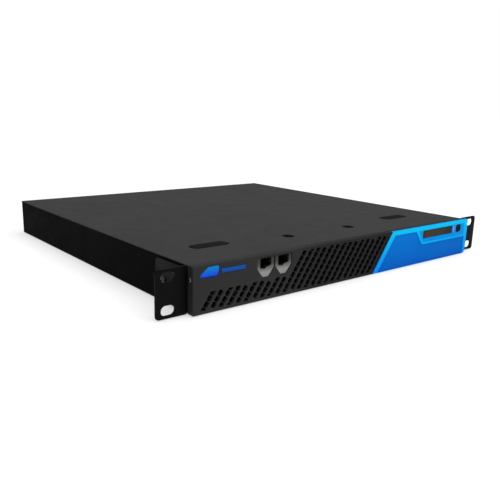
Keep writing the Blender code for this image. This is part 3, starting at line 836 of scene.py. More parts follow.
def opening(cx, cz, limits):
    """Oblong hexagon, its long axis along a line, cut straight where it meets the plain border."""
    hw, hl = HOLE_W / 2, HOLE_L / 2
    sh = hl - HOLE_W * 0.15
    pts = [(hw, -sh), (hw, sh), (0.0, hl), (-hw, sh), (-hw, -sh), (0.0, -hl)]
    ca, sa = math.cos(-LEAN), math.sin(-LEAN)
    pts = [(cx + x * ca - z * sa, cz + x * sa + z * ca) for x, z in pts]
    for a, b, c in limits:
        pts = clipped(pts, a, b, c)
        if len(pts) < 3:
            return None
    pts = merged(pts)
    if len(pts) < 3 or abs(area(pts)) < 6.5:
        return None
    return rounded(pts, [0.42] * len(pts), 2)


def perforations():
    out = []
    for k in range(-10, 15):
        top = 19.6 if k < 0 else 41.4
        start = FIRST_Z - SHIFT * k
        edge = math.hypot(1.0, SLANT)
        limits = [(0.0, 1.0, top), (0.0, -1.0, -3.4), (-1.0, 0.0, BEZ_H - 4.0), (1.0, -SLANT, SLANT_X0 - 2.4 * edge)]
        for j in range(-14, 24):
            zc = start - LINE_STEP * j
            if not 0.0 < zc < top + 3.0:
                continue
            xc = LINE_X0 + LINE_PITCH * k + SLANT * zc
            near = False
            for n, jx in JACKS:
                foot = 5.6 if zc < 27.0 else 13.4
                if abs(xc - jx) < foot and zc > 18.2:
                    near = True
                if 27.0 > zc > 18.2 and abs(xc - jx) < 5.6 + (zc - 18.2) * 0.9:
                    near = True
            if near:
                continue
            shape = opening(xc, zc, limits)
            if shape:
                out.append(shape)
    return out


def jack_outline(x, grow=0.0):
    g = grow
    pts = [(x - 10.3 - g, 41.2 + g), (x - 10.3 - g, 31.0 - g * 0.6), (x - 3.2 - g * 0.6, 22.2 - g),
           (x + 3.2 + g * 0.6, 22.2 - g), (x + 10.3 + g, 31.0 - g * 0.6), (x + 10.3 + g, 41.2 + g)]
    return rounded(pts, [1.2, 1.0, 1.6, 1.6, 1.0, 1.2], 3)


holes = perforations()
left_face = rounded([(-BEZ_H, 0.3), (slant(0.3), 0.3), (slant(44.0), 44.0), (-BEZ_H, 44.0)], [1.4, 0.0, 0.0, 1.4], 4)
LOZENGE = rounded([(-202.2, 33.2), (-201.8, 35.8), (-194.0, 41.7), (-182.6, 41.9), (-182.2, 37.9), (-184.6, 32.6)],
                  [2.4, 2.2, 2.4, 2.6, 2.2, 2.2], 6)
badge_pockets = [(offset(LOZENGE, -0.25), 0.8, [(0.2, 0.0), (0.06, 0.06), (0.0, 0.2)]),
                 (round_rect(-179.95, -152.75, 34.05, 38.45, 0.8, 3), 0.8, [(0.2, 0.0), (0.06, 0.06), (0.0, 0.2)])]
main_tray = plate("y", left_face, 0.0, 2.6, holes=holes + [jack_outline(x, 0.3) for n, x in JACKS],
                  pockets=badge_pockets, edge=fillet(0.9, 4), hole_edge=[(0.28, 0.0), (0.08, 0.08), (0.0, 0.28)],
                  rim=(2.3, 8.3))
right_face = rounded([(slant(0.3) - 0.05, 0.3), (BEZ_H - 3.0, 0.3), (BEZ_H, 3.6), (BEZ_H, 44.0), (slant(44.0) - 0.05, 44.0)],
                     [0.0, 0.6, 0.6, 1.2, 0.0], 4)
right_holes = [round_rect(118.0, 174.0, 31.0, 37.0, 0.6, 2), round_rect(179.4, 181.0, 31.0, 37.0, 0.4, 2),
               [(189.6 + 2.7 * math.cos(t * math.pi / 12), 34.2 + 2.7 * math.sin(t * math.pi / 12)) for t in range(24)]]
back_tray = plate("y", right_face, 3.75, 5.9, holes=right_holes, edge=[(0.3, 0.0), (0.0, 0.3)], rim=(2.3, 8.3))
# snap ribs inside the rim, seen from behind or through the openings
ribs = [rbox(x, x + 1.4, 2.5, 7.6, 0.9, 2.9, 0.2, 1) for x in (-180.0, -150.0, -118.0, -88.0, -58.0, -28.0, 2.0)]
ribs += [rbox(x, x + 1.4, 2.5, 7.6, 41.5, 43.3, 0.2, 1) for x in (-180.0, -150.0, -88.0, -58.0, -28.0, 2.0, 32.0)]
piece("bezel_shell", "chassis", ["bezel"], [main_tray, back_tray] + ribs, replaces=["front_bezel"])

# Accent panel: rim on three sides painted brighter as a highlight, sunk field, console with a ledge below the window.
acc = rounded([(slant(0.3) + 0.3, 0.3), (206.8, 0.3), (BEZ_H, 3.6), (BEZ_H, 44.0), (slant(44.0) + 0.3, 44.0)],
              [0.5, 1.6, 1.6, 1.8, 0.6], 4)
field = rounded([(slant(0.3) + 8.4, 0.62), (203.6, 0.62), (203.6, 22.6), (115.6, 22.6), (104.0, 39.0), (slant(39.0) + 8.4, 39.0)],
                [0.3, 0.6, 1.4, 1.4, 1.2, 1.2], 4)
win = round_rect(115.5, 176.3, 29.4, 38.8, 1.0, 4)
lite = round_rect(178.9, 181.5, 29.4, 38.8, 0.8, 3)
btn = round_rect(184.3, 194.9, 29.4, 39.0, 3.2, 6)


def accent_shape(bm):
    slope = [(0.30, 0.0), (0.22, 0.08), (0.08, 0.7), (0.0, 0.9)]
    old = set(bm.faces)
    plate("y", acc, 0.2, 3.45, holes=[win, lite, btn], pockets=[(field, 1.0, slope)], edge=fillet(0.28, 3),
          hole_edge=[(0.35, 0.0), (0.1, 0.1), (0.0, 0.35)], back_edge=0.2)(bm)
    for f in bm.faces:
        if f in old:
            continue
        c = f.calc_center_median()
        if 1.1 < c.y < 1.3 and abs(f.normal.y) > 0.9:
            f.material_index = 1
        elif abs(f.normal.y) < 0.35:
            f.material_index = 2


# soft ridge that runs down the console's slanted end and along below the window, in the rim's painted highlight colour
ledge_path = [(103.4, 0.95, 39.2), (107.6, 0.80, 33.4), (112.4, 0.72, 26.6), (114.6, 0.70, 24.0), (117.6, 0.70, 23.4),
              (140.0, 0.70, 23.4), (180.0, 0.70, 23.4), (202.4, 0.80, 23.4)]
ledge = sweep(smooth_route(ledge_path, 5), 0.95, 10)
piece("accent_fascia", "chassis", ["blue_rim", "blue_field", "blue_side"], [accent_shape, tinted(0, ledge)],
      replaces=["accent_panel"])

# Window, light guide and button.
piece("display_lens", "chassis", ["window"], [plate("y", round_rect(115.85, 175.95, 29.75, 38.45, 0.8, 4), 0.7, 3.2,
      edge=fillet(0.45, 4), back_edge=0.1)], replaces=["indicator_window"])
piece("light_guide", "chassis", ["lilac"], [plate("y", round_rect(179.2, 181.2, 29.7, 38.5, 0.6, 4), 0.5, 3.2,
      edge=fillet(0.4, 4), back_edge=0.1)], replaces=["status_light_bar"])


def button_cap(bm):
    out = round_rect(184.8, 194.4, 29.9, 38.5, 3.0, 6)
    plate("y", out, 0.0, 2.0, edge=fillet(0.55, 4), back_edge=0.1,
          pockets=[(round_rect(186.3, 192.9, 31.4, 37.0, 2.3, 5), 0.45, [(0.7, 0.0), (0.42, 0.10), (0.2, 0.26), (0.05, 0.40)])])(bm)
    lathe("y", (189.6, 0, 34.2), [(1.9, 1.8), (1.9, 6.3), (1.6, 6.6), (0.0, 6.6)], 20)(bm)


piece("power_button_cap", "power_button", ["button"], [button_cap], replaces=["power_button"])


# Badge: a domed lozenge and a bar, with no mark on them.
def dome(outline, base, rise, steps):
    def make(bm):
        def loop(pts, a):
            return [bm.verts.new((p[0], a, p[1])) for p in pts]
        cx = sum(p[0] for p in outline) / len(outline)
        cz = sum(p[1] for p in outline) / len(outline)
        rings = [loop(outline, base)]
        for i in range(1, steps + 1):
            t = i / steps * math.pi / 2 * 0.96
            k = math.cos(t)
            k = 1 - (1 - k) * 0.55
            rings.append(loop([(cx + (p[0] - cx) * k, cz + (p[1] - cz) * k) for p in outline], base - rise * math.sin(t)))
        made = ring_walls(bm, rings)
        made.extend(cap(bm, rings[-1]))
        made.extend(cap(bm, rings[0]))
        bmesh.ops.recalc_face_normals(bm, faces=made)
    return make


piece("badge_dome", "chassis", ["emblem"], [dome(LOZENGE, 0.5, 0.5, 5)], replaces=["badge_emblem"])
piece("badge_plate", "chassis", ["bar"], [plate("y", round_rect(-179.7, -153.0, 34.3, 38.2, 0.6, 4), 0.0, 0.5, edge=fillet(0.25, 3))],
      replaces=["badge_bar"])
piece("bezel_side_screw", "chassis", ["jack_face"], [cross_screw("x", (0.0, 4.9, 31.9), 2.7, -210.3, -211.5),
      cyl("x", (0, 4.9, 31.9), 1.3, -210.6, -203.6, 16)], replaces=["bezel_screw"])

# ================================================================ front jacks
for side, x in JACKS:
    mouth = rounded([(x - 6.7, 40.6), (x - 6.7, 31.4), (x - 1.3, 30.5), (x + 1.6, 32.2), (x + 6.5, 33.0), (x + 6.5, 40.6)],
                    [1.6, 1.5, 0.9, 0.8, 1.5, 1.6], 4)
    face = plate("y", jack_outline(x), 0.6, 1.3, holes=[mouth], edge=fillet(0.4, 3),
                 hole_edge=[(0.3, 0.0), (0.08, 0.08), (0.0, 0.3)])
    can = carved(rbox(x - 8.0, x + 8.0, 1.25, 20.0, 27.4, 41.2, 0.5, 2), [
        ("-", [box(x - 7.5, x + 7.5, 3.0, 22.0, 27.9, 40.85)]),
        ("-", [prism("y", mouth, 0.0, 4.5)])])
    springs = []
    for s in (-1, 1):                     # contact springs on the side walls of the can
        for z in (31.5, 36.5):
            springs.append(sweep([(x + s * 7.9, 4.0, z), (x + s * 8.5, 5.4, z), (x + s * 8.75, 7.2, z), (x + s * 8.4, 9.2, z),
                                  (x + s * 7.9, 10.6, z)], 0.45, 6))
    piece("jack_%s_can" % side, "chassis", ["jack_face", "nickel"], [face, tinted(1, can)] + [tinted(1, c) for c in springs],
          replaces=["front_jack_%s_shell" % side])
    pocket = [(x - 6.2, 40.2), (x - 6.2, 31.2), (x - 1.4, 30.8), (x + 1.2, 32.1), (x + 6.0, 32.5), (x + 6.0, 40.2)]
    insert = carved(box(x - 6.9, x + 6.9, 3.9, 19.6, 28.5, 40.75), [("-", [prism("y", pocket, 2.0, 16.0)])])
    comb_slots = [box(x - 4.62 + 1.27 * i, x - 4.27 + 1.27 * i, 8.0, 16.3, 38.6, 40.3) for i in range(8)]
    wires = []
    for i in range(8):
        wx = x - 4.45 + 1.27 * i
        wires.append(tinted(1, sweep([(wx, 4.6, 39.9), (wx, 6.0, 39.7), (wx, 9.0, 38.4), (wx, 12.0, 36.6), (wx, 14.6, 35.2),
                                      (wx, 15.9, 35.0)], 0.2, 6)))
    ledge = rbox(x - 5.8, x + 5.8, 4.2, 6.0, 39.3, 40.1, 0.15, 1)
    piece("jack_%s_insert" % side, "chassis", ["black", "gold"], [insert, ledge] + wires,
          replaces=["front_jack_%s_insert" % side])

# ================================================================ top cover
cover_plate = rbox(-BODY_HALF, BODY_HALF, 8.6, 420.0, 42.3, 43.5, 0.55, 3)
skirts = [box(s * 206.0 - 0.6, s * 206.0 + 0.6, 14.0, 414.0, 35.0, 42.9) for s in (-1, 1)]
hem = rbox(-BODY_HALF + 0.4, BODY_HALF - 0.4, 418.6, 419.9, 35.0, 43.0, 0.4, 2)
cups = [prism("z", round_rect(x - 24.5, x + 24.5, 51.5, 72.5, 9.5, 8), 40.6, 42.9) for x in RECESS_X]
dips = [prism("z", round_rect(x - 22.0, x + 22.0, 53.5, 70.5, 7.5, 8), 41.5, 50.0) for x in RECESS_X]
dimples = [prism("z", round_rect(x - 6.2, x + 6.2, 43.2, 57.8, 6.1, 10), 42.8, 50.0) for x in SCREW_X]
bores = [cyl("z", (x, 50.0, 0), 2.0, 40.0, 46.0, 20) for x in SCREW_X]
cover_shape = carved(cover_plate, [("+", skirts + [hem]), ("+", cups), ("-", dips + dimples), ("-", bores)],
                     bevel=0.32, seg=3, angle=50)
piece("cover_sheet", "cover", ["cover"], [cover_shape], replaces=["top_cover"], sharp=40)
# near-black screw heads and a near-black lining on each dimple's floor, much darker than the cover around them
for n, x in zip(("left", "right"), SCREW_X):
    piece("cover_%s_screw_fine" % n, "cover", ["pit"],
          [cross_screw("z", (x, 50.0, 0), 4.6, 43.1, 44.4, 32, 0.55, 0.75), cyl("z", (x, 50.0, 0), 1.6, 41.8, 43.3, 18),
           plate("z", round_rect(x - 6.1, x + 6.1, 43.3, 57.7, 6.0, 10), 43.15, 42.82, edge=fillet(0.12, 2),
                 holes=[[(x + 2.3 * math.cos(t * math.pi / 16), 50.0 + 2.3 * math.sin(t * math.pi / 16)) for t in range(32)]])],
          replaces=["cover_screw_" + n])
# dark ribbed pads laid in the thumb recesses: painted shade standing for the shadow inside the recesses
for n, x in zip(("left", "right"), RECESS_X):
    shade_pad = [plate("z", round_rect(x - 21.6, x + 21.6, 53.9, 70.1, 7.1, 8), 42.6, 41.45, edge=fillet(0.3, 3))]
    for i in range(8):
        y = 55.2 + i * 1.85
        cut = (3.4, 1.4, 0.5, 0.0, 0.0, 0.5, 1.4, 3.4)[i]
        shade_pad.append(rbox(x - 20.6 + cut, x + 20.6 - cut, y, y + 0.85, 42.4, 43.9, 0.3, 2))
    piece("cover_%s_thumb_pad" % n, "cover", ["rubber"], shade_pad)

# ================================================================ chassis tray
tab = box(-206.7, -204.9, 2.9, 9.0, 28.0, 36.0)
cover_tabs = [box(x - 8.0, x + 8.0, 9.2, 58.0, 40.3, 41.5) for x in SCREW_X]
front_windows = [prism("y", round_rect(a, b, c, d, 1.2, 3), 7.0, 11.0) for a, b, c, d in (
    (-196.0, -148.0, 4.0, 18.5), (-144.0, -96.0, 4.0, 18.5), (-92.0, -56.0, 4.0, 37.0), (-52.0, -14.0, 4.0, 37.0),
    (-10.0, 26.0, 4.0, 37.0), (112.0, 198.0, 24.0, 40.2))]
front_windows += [prism("y", round_rect(x - 9.0, x + 9.0, 24.0, 41.3, 0.8, 3), 7.0, 11.0) for n, x in JACKS]
side_holes = [cyl("x", (0, y, 22.0), 1.9, s * 204.0, s * 212.0, 20) for y in (26.0, 46.0) for s in (-1, 1)]


def tray_outer(bm):
    """Outer block with the bend radius of folded sheet along the floor's edges and the front corners."""
    old = set(bm.verts)
    box(-BODY_HALF, BODY_HALF, 8.6, 418.2, 0.0, 42.0)(bm)
    edges = []
    for e in bm.edges:
        if e.verts[0] in old:
            continue
        a, b = e.verts[0].co, e.verts[1].co
        low = a.z < 1 and b.z < 1
        front = a.y < 9 and b.y < 9
        side = abs(a.x - b.x) < 1
        if (low and (side or front)) or (front and side):
            edges.append(e)
    bmesh.ops.bevel(bm, geom=edges, offset=1.0, segments=3, profile=0.5, affect="EDGES")


tray = carved(tray_outer, [
    ("-", [box(-BODY_HALF + SHEET, BODY_HALF - SHEET, 8.6 + SHEET, 440.0, SHEET, 60.0)]),
    ("+", [tab] + cover_tabs), ("-", front_windows), ("-", side_holes),
    ("-", [cyl("x", (0, 4.9, 31.9), 1.7, -212.0, -200.0, 16)] + [cyl("z", (x, 50.0, 0), 1.9, 38.0, 42.2, 20) for x in SCREW_X]),
], bevel=0.15, seg=1, angle=60)
floor_studs = []
for x, y in ((-196, 168), (101, 168), (-196, 396), (101, 396), (-190, 36), (-136, 36), (-190, 124), (-136, 124),
             (128, 280), (197, 280), (128, 400), (197, 400)):
    floor_studs.append(tinted(1, lathe("z", (x, y, 0), [(0.0, 0.05), (2.2, 0.05), (2.6, 0.3), (2.6, 0.9), (0.0, 0.9)], 16)))
inner_studs = [tinted(1, lathe("z", (x, y, 0), [(0.0, 1.0), (2.6, 1.0), (2.6, 1.35), (2.2, 1.5), (0.0, 1.5)], 16))
               for x, y in ((-60, 60), (60, 60), (-60, 135), (20, 135), (140, 150), (190, 150), (140, 220), (190, 220))]
piece("chassis_shell", "chassis", ["steel", "zinc"], [tray] + floor_studs + inner_studs, replaces=["chassis_tray"])

# ================================================================ rack ears
for n, s in (("left", -1), ("right", 1)):
    a0, a1 = sorted((s * 208.8, s * 241.3))
    f0, f1 = sorted((s * 208.8, s * 210.8))
    u0, u1 = sorted((s * 222.4, s * 236.2))
    face = plate("y", round_rect(a0, a1, 0.4, 43.9, 3.4, 6), 8.5, 10.5,
                 holes=[round_rect(u0, u1, z0, z0 + 9.0, 4.4, 8) for z0 in (3.0, 32.0)],
                 edge=[(0.3, 0.0), (0.09, 0.09), (0.0, 0.3)], hole_edge=[(0.25, 0.0), (0.07, 0.07), (0.0, 0.25)], back_edge=0.2)
    arm = plate("x", rounded([(9.6, 2.4), (60.0, 2.4), (60.0, 41.0), (9.6, 41.0)], [0.3, 6.0, 6.0, 0.3], 5),
                s * 210.8, s * 208.8, holes=[[(y + 1.9 * math.cos(t * math.pi / 10), 22.0 + 1.9 * math.sin(t * math.pi / 10))
                                              for t in range(20)] for y in (26.0, 46.0)],
                edge=[(0.25, 0.0), (0.07, 0.07), (0.0, 0.25)], hole_edge=[(0.3, 0.0), (0.0, 0.3)], back_edge=0.1)
    piece("%s_ear_bracket" % n, "chassis", ["ear"], [face, arm], replaces=["%s_rack_ear" % n])
    heads = []
    for y in (26.0, 46.0):
        heads += [cross_screw("x", (0, y, 22.0), 3.4, s * 211.1, s * 212.7, 28), cyl("x", (0, y, 22.0), 1.5, s * 206.0, s * 211.3, 16),
                  lathe("x", (0, y, 22.0), [(1.7, s * 210.75), (4.0, s * 210.75), (4.0, s * 211.15), (1.7, s * 211.15)], 28)]
    piece("%s_ear_screws" % n, "chassis", ["dark_screw"], heads,
          replaces=["%s_ear_screw_front" % n, "%s_ear_screw_rear" % n])


# ================================================================ materials of the inside and the rear
def circuit_board(name, ground, trace, second="Y"):
    """Solder mask over copper: bundles of fine tracks that turn from patch to patch, and plated through holes."""
    n = Nodes(name)
    u, v = n.axis("X"), n.axis(second)
    pick = n.math("GREATER_THAN", n.voronoi(60.0, out="Color", metric="CHEBYCHEV"), 0.5)

    def tracks(w):
        return n.math("LESS_THAN", n.math("PINGPONG", w, 0.00052), 0.00021)
    line = n.math("ADD", n.math("MULTIPLY", tracks(u), pick), n.math("MULTIPLY", tracks(v), n.math("SUBTRACT", 1.0, pick)))
    track = n.math("MULTIPLY", line, n.math("GREATER_THAN", n.noise(44.0, 2.0), 0.49))
    via = n.math("MULTIPLY", n.math("LESS_THAN", n.voronoi(230.0), 0.12), n.math("GREATER_THAN", n.noise(36.0, 1.0), 0.47))
    base = n.ramp(n.noise(7.0, 3.0), [(0.3, rgb(ground, 0.85)), (0.7, rgb(ground, 1.15))])
    base = n.mix(n.math("MULTIPLY", track, 0.75), base, rgb(trace))
    base = n.mix(via, base, rgb((206, 178, 104)))
    n.set(Base_Color=base, Roughness=n.grey(n.noise(60.0, 3.0), 0.35, 0.34, 0.7, 0.46))
    n.set(Metallic=n.math("MULTIPLY", via, 0.8), Normal=n.bump(n.math("ADD", track, via), 0.00003, 0.6))
    n.bsdf.inputs["Specular IOR Level"].default_value = 0.35
    return n.mat


def insulated(name, colour):
    return painted(name, colour, 0.48, spec=0.35, grain=700.0, depth=0.00001, strength=0.2, vary=0.10, smudge=0.06)


def lit(name, colour, power):
    n = Nodes(name)
    base = n.ramp(n.noise(500.0, 2.0), [(0.3, rgb(colour, 0.8)), (0.7, rgb(colour, 1.1))])
    n.set(Base_Color=base, Emission_Color=base, Roughness=n.grey(n.noise(300.0, 2.0), 0.3, 0.2, 0.7, 0.32))
    n.bsdf.inputs["Emission Strength"].default_value = power
    return n.mat


def paper_label():
    """Blank matt label with a faint fibre and two plain ruled lines' worth of tone, no print."""
    n = Nodes("blank_label")
    fibre = n.noise(1.0, 4.0, 0.7, n.scaled(300.0, 2400.0, 300.0))
    base = n.ramp(n.noise(20.0, 2.0), [(0.3, rgb((196, 196, 190))), (0.7, rgb((212, 212, 206)))])
    base = n.mix(1.0, base, n.grey(fibre, 0.3, 0.95, 0.7, 1.03), "MULTIPLY")
    n.set(Base_Color=base, Roughness=n.grey(fibre, 0.3, 0.6, 0.7, 0.75), Normal=n.bump(fibre, 0.00001, 0.3))
    n.bsdf.inputs["Specular IOR Level"].default_value = 0.2
    return n.mat


M["pcb"] = circuit_board("green_circuit_board", (12, 62, 36), (26, 92, 54))
M["pcb_up"] = circuit_board("green_circuit_board_upright", (12, 62, 36), (26, 92, 54), "Z")
M["pcb_dimm"] = circuit_board("memory_board", (12, 56, 46), (24, 84, 66), "Z")
M["epoxy"] = painted("moulded_epoxy", (22, 22, 24), 0.55, spec=0.3, grain=2600.0, depth=0.00001, strength=0.4, vary=0.10, smudge=0.06)
M["ceramic"] = painted("ceramic_capacitor", (150, 124, 92), 0.5, spec=0.35, grain=1800.0, depth=0.00001, strength=0.2, vary=0.14)
M["ferrite"] = painted("pressed_ferrite", (58, 60, 62), 0.7, spec=0.25, grain=1500.0, depth=0.00003, strength=0.5, vary=0.12)
M["nylon"] = painted("natural_nylon", (206, 202, 186), 0.45, spec=0.4, grain=500.0, depth=0.00001, strength=0.2, vary=0.05)
M["blue_nylon"] = painted("blue_nylon", (24, 62, 128), 0.45, spec=0.4, grain=500.0, depth=0.00001, strength=0.2, vary=0.07)
M["rotor"] = painted("glass_filled_black", (18, 18, 19), 0.38, spec=0.45, grain=900.0, depth=0.00001, strength=0.2, vary=0.08)
M["sleeve"] = painted("capacitor_sleeve", (26, 34, 66), 0.34, spec=0.45, grain=400.0, depth=0.00001, strength=0.15, vary=0.08)
M["red_wire"] = insulated("red_insulation", (150, 22, 18))
M["yellow_wire"] = insulated("yellow_insulation", (196, 160, 24))
M["orange_wire"] = insulated("orange_insulation", (190, 92, 20))
M["black_wire"] = insulated("black_insulation", (18, 18, 19))
M["grey_wire"] = insulated("grey_insulation", (120, 122, 124))
M["green_led"] = lit("green_light", (40, 190, 70), 0.25)
M["amber_led"] = lit("amber_light", (220, 140, 30), 0.20)
M["paper"] = paper_label()
M["lcd"] = smoked_window()
M["lcd"].name = "display_glass"
M["drive_alu"] = metallic("cast_drive_body", (150, 152, 156), 0.42, (30.0, 30.0, 30.0), 0.08)


# ================================================================ small parts
def lead_x(side, x, y, z, h, w=0.34, reach=1.15):
    """Gull-wing lead standing out of a body's side at x, towards -x or +x."""
    p = [(0.0, h * 0.58), (reach * 0.42, h * 0.58), (reach * 0.62, 0.2), (reach, 0.2), (reach, 0.0), (reach * 0.45, 0.0),
         (reach * 0.30, h * 0.44), (0.0, h * 0.44)]
    return prism("y", [(x + side * a, z + b) for a, b in p], y - w / 2, y + w / 2)


def lead_y(side, x, y, z, h, w=0.34, reach=1.15):
    p = [(0.0, h * 0.58), (reach * 0.42, h * 0.58), (reach * 0.62, 0.2), (reach, 0.2), (reach, 0.0), (reach * 0.45, 0.0),
         (reach * 0.30, h * 0.44), (0.0, h * 0.44)]
    return prism("x", [(y + side * a, z + b) for a, b in p], x - w / 2, x + w / 2)


def chip(cx, cy, z, w, l, h, nx=0, ny=0, body=1, lead=2):
    """Moulded package: nx leads on each of its ends in y, ny on each of its sides in x, and a sunk dot."""
    out = [tinted(body, carved(rbox(cx - w / 2, cx + w / 2, cy - l / 2, cy + l / 2, z + 0.15, z + h, 0.12, 1),
                               [("-", [cyl("z", (cx - w / 2 + 1.2, cy + l / 2 - 1.2, 0), 0.45, z + h - 0.08, z + h + 1, 12)])]))]
    for s in (-1, 1):
        for i in range(nx):
            x = cx + (i - (nx - 1) / 2) * (w - 1.6) / max(nx - 1, 1)
            out.append(tinted(lead, lead_y(s, x, cy + s * l / 2, z, h)))
        for i in range(ny):
            y = cy + (i - (ny - 1) / 2) * (l - 1.6) / max(ny - 1, 1)
            out.append(tinted(lead, lead_x(s, cx + s * w / 2, y, z, h)))
    return out


def passive(cx, cy, z, long, wide, h, along="x", body=3, lead=2):
    e = long * 0.2
    if along == "x":
        return [tinted(body, rbox(cx - long / 2 + e, cx + long / 2 - e, cy - wide / 2, cy + wide / 2, z, z + h, 0.06, 1)),
                tinted(lead, rbox(cx - long / 2, cx - long / 2 + e, cy - wide / 2, cy + wide / 2, z, z + h + 0.03, 0.08, 1)),
                tinted(lead, rbox(cx + long / 2 - e, cx + long / 2, cy - wide / 2, cy + wide / 2, z, z + h + 0.03, 0.08, 1))]
    return [tinted(body, rbox(cx - wide / 2, cx + wide / 2, cy - long / 2 + e, cy + long / 2 - e, z, z + h, 0.06, 1)),
            tinted(lead, rbox(cx - wide / 2, cx + wide / 2, cy - long / 2, cy - long / 2 + e, z, z + h + 0.03, 0.08, 1)),
            tinted(lead, rbox(cx - wide / 2, cx + wide / 2, cy + long / 2 - e, cy + long / 2, z, z + h + 0.03, 0.08, 1))]


def can(cx, cy, z, r, h, sleeve=4, metal=5, seg=22):
    """Electrolytic capacitor: sleeve with a crimp, bare scored top and a moulded foot."""
    body = lathe("z", (cx, cy, 0), [(0.0, z), (r * 0.92, z), (r, z + 0.4), (r, z + h * 0.16), (r * 0.93, z + h * 0.20), (r, z + h * 0.24),
                                    (r, z + h - 0.5), (r * 0.9, z + h - 0.1), (r * 0.82, z + h - 0.1), (0.0, z + h - 0.1)], seg)
    top = carved(cyl("z", (cx, cy, 0), r * 0.80, z + h - 0.3, z + h, seg),
                 [("-", [box(cx - r, cx + r, cy - 0.12, cy + 0.12, z + h - 0.12, z + h + 1)]),
                  ("-", [box(cx - 0.12, cx + 0.12, cy - r, cy + r, z + h - 0.12, z + h + 1)])])
    return [tinted(sleeve, body), tinted(metal, top)]


def pin_header(x0, y0, z, nx, ny, pitch, block, tall, body=1, pin=6):
    out = [tinted(body, rbox(x0 - pitch / 2, x0 + (nx - 0.5) * pitch, y0 - pitch / 2, y0 + (ny - 0.5) * pitch, z, z + block, 0.2, 1))]
    for i in range(nx):
        for j in range(ny):
            out.append(tinted(pin, rbox(x0 + i * pitch - 0.32, x0 + i * pitch + 0.32, y0 + j * pitch - 0.32,
                                        y0 + j * pitch + 0.32, z + block, z + tall, 0.1, 1)))
    return out


def ring_pts(cx, cy, r, n=20):
    return [(cx + r * math.cos(2 * math.pi * i / n), cy + r * math.sin(2 * math.pi * i / n)) for i in range(n)]


# ================================================================ mainboard
PCB_Z = 9.6
board_holes = [ring_pts(x, y, 1.9) for x in (-196.0, 101.0) for y in (168.0, 396.0)]
parts = [plate("z", rounded([(-203, 160), (108, 160), (108, 408), (-203, 408)], 1.5, 3), PCB_Z, 8.0, holes=board_holes,
               edge=[(0.1, 0.0), (0.0, 0.1)])]
for x in (-196.0, 101.0):
    for y in (168.0, 396.0):
        parts.append(tinted(6, lathe("z", (x, y, 0), [(2.1, 9.55), (3.6, 9.55), (3.6, 9.68), (2.1, 9.68)], 24)))
# regulator row in front of the processor: coils, field-effect switches and capacitors
for i in range(5):
    x = -106.0 + 15.0 * i
    parts += [tinted(7, carved(rbox(x - 5.2, x + 5.2, 206.0, 216.4, PCB_Z, PCB_Z + 7.0, 0.9, 2),
                               [("-", [rbox(x - 3.4, x + 3.4, 207.8, 214.6, PCB_Z + 6.5, PCB_Z + 9.0, 0.2, 1)])]))]
    parts += [tinted(2, rbox(x - 6.0, x + 6.0, 209.6, 212.8, PCB_Z, PCB_Z + 0.7, 0.1, 1))]
    for y in (199.5,):
        parts += chip(x - 3.2, y, PCB_Z, 5.0, 5.6, 1.2, 4, 0)
        parts += chip(x + 3.6, y, PCB_Z, 5.0, 5.6, 1.2, 4, 0)
for i in range(6):
    parts += can(-110.0 + 13.6 * i, 187.5, PCB_Z, 4.0, 11.0)
for i in range(4):
    parts += can(-100.0 + 22.0 * i, 316.5, PCB_Z, 3.2, 8.5)
parts += can(86.0 + 7.5, 250.0, PCB_Z, 4.0, 11.0) + can(93.5, 262.0, PCB_Z, 4.0, 11.0) + can(93.5, 166.5, PCB_Z, 3.2, 8.5)
# network controllers, super input-output part, flash and clock parts
parts += chip(-172.0, 372.0, PCB_Z, 12.0, 12.0, 1.4, 14, 14) + chip(-142.0, 372.0, PCB_Z, 12.0, 12.0, 1.4, 14, 14)
parts += chip(-157.0, 338.0, PCB_Z, 14.0, 14.0, 1.5, 16, 16)
for i in range(4):
    parts += chip(-182.1 + 16.06 * i, 389.0, PCB_Z, 9.0, 5.2, 2.2, 8, 0)
parts += chip(-78.0, 384.0, PCB_Z, 10.3, 7.5, 2.0, 9, 0) + chip(-44.0, 384.0, PCB_Z, 5.0, 4.0, 1.6, 4, 0)
parts += chip(-160.0, 250.0, PCB_Z, 17.0, 17.0, 1.6, 20, 20) + chip(-180.0, 206.0, PCB_Z, 8.0, 5.3, 1.8, 4, 0)
parts += chip(60.0, 300.0, PCB_Z, 10.0, 10.0, 1.3, 11, 11) + chip(62.0, 232.0, PCB_Z, 5.0, 6.2, 1.6, 0, 4)
parts += [tinted(5, rbox(-132.0, -121.0, 300.0, 304.6, PCB_Z + 0.1, PCB_Z + 2.4, 0.8, 3)),
          tinted(5, rbox(30.0, 41.0, 264.0, 268.6, PCB_Z + 0.1, PCB_Z + 2.4, 0.8, 3))]
# coin cell in its holder
parts += [tinted(1, carved(lathe("z", (-10.0, 366.0, 0), [(0.0, PCB_Z), (11.6, PCB_Z), (11.6, PCB_Z + 2.0), (11.0, PCB_Z + 2.3), (0.0, PCB_Z + 2.3)], 40),
                           [("-", [cyl("z", (-10.0, 366.0, 0), 10.2, PCB_Z + 0.6, 30.0, 40)])])),
          tinted(8, lathe("z", (-10.0, 366.0, 0), [(0.0, PCB_Z + 0.7), (10.0, PCB_Z + 0.7), (10.0, PCB_Z + 1.6), (9.3, PCB_Z + 2.35), (0.0, PCB_Z + 2.35)], 40)),
          tinted(2, sweep([(-20.8, 366.0, PCB_Z + 2.0), (-17.0, 366.0, PCB_Z + 2.6), (-12.0, 366.0, PCB_Z + 2.55)], 0.5, 6))]
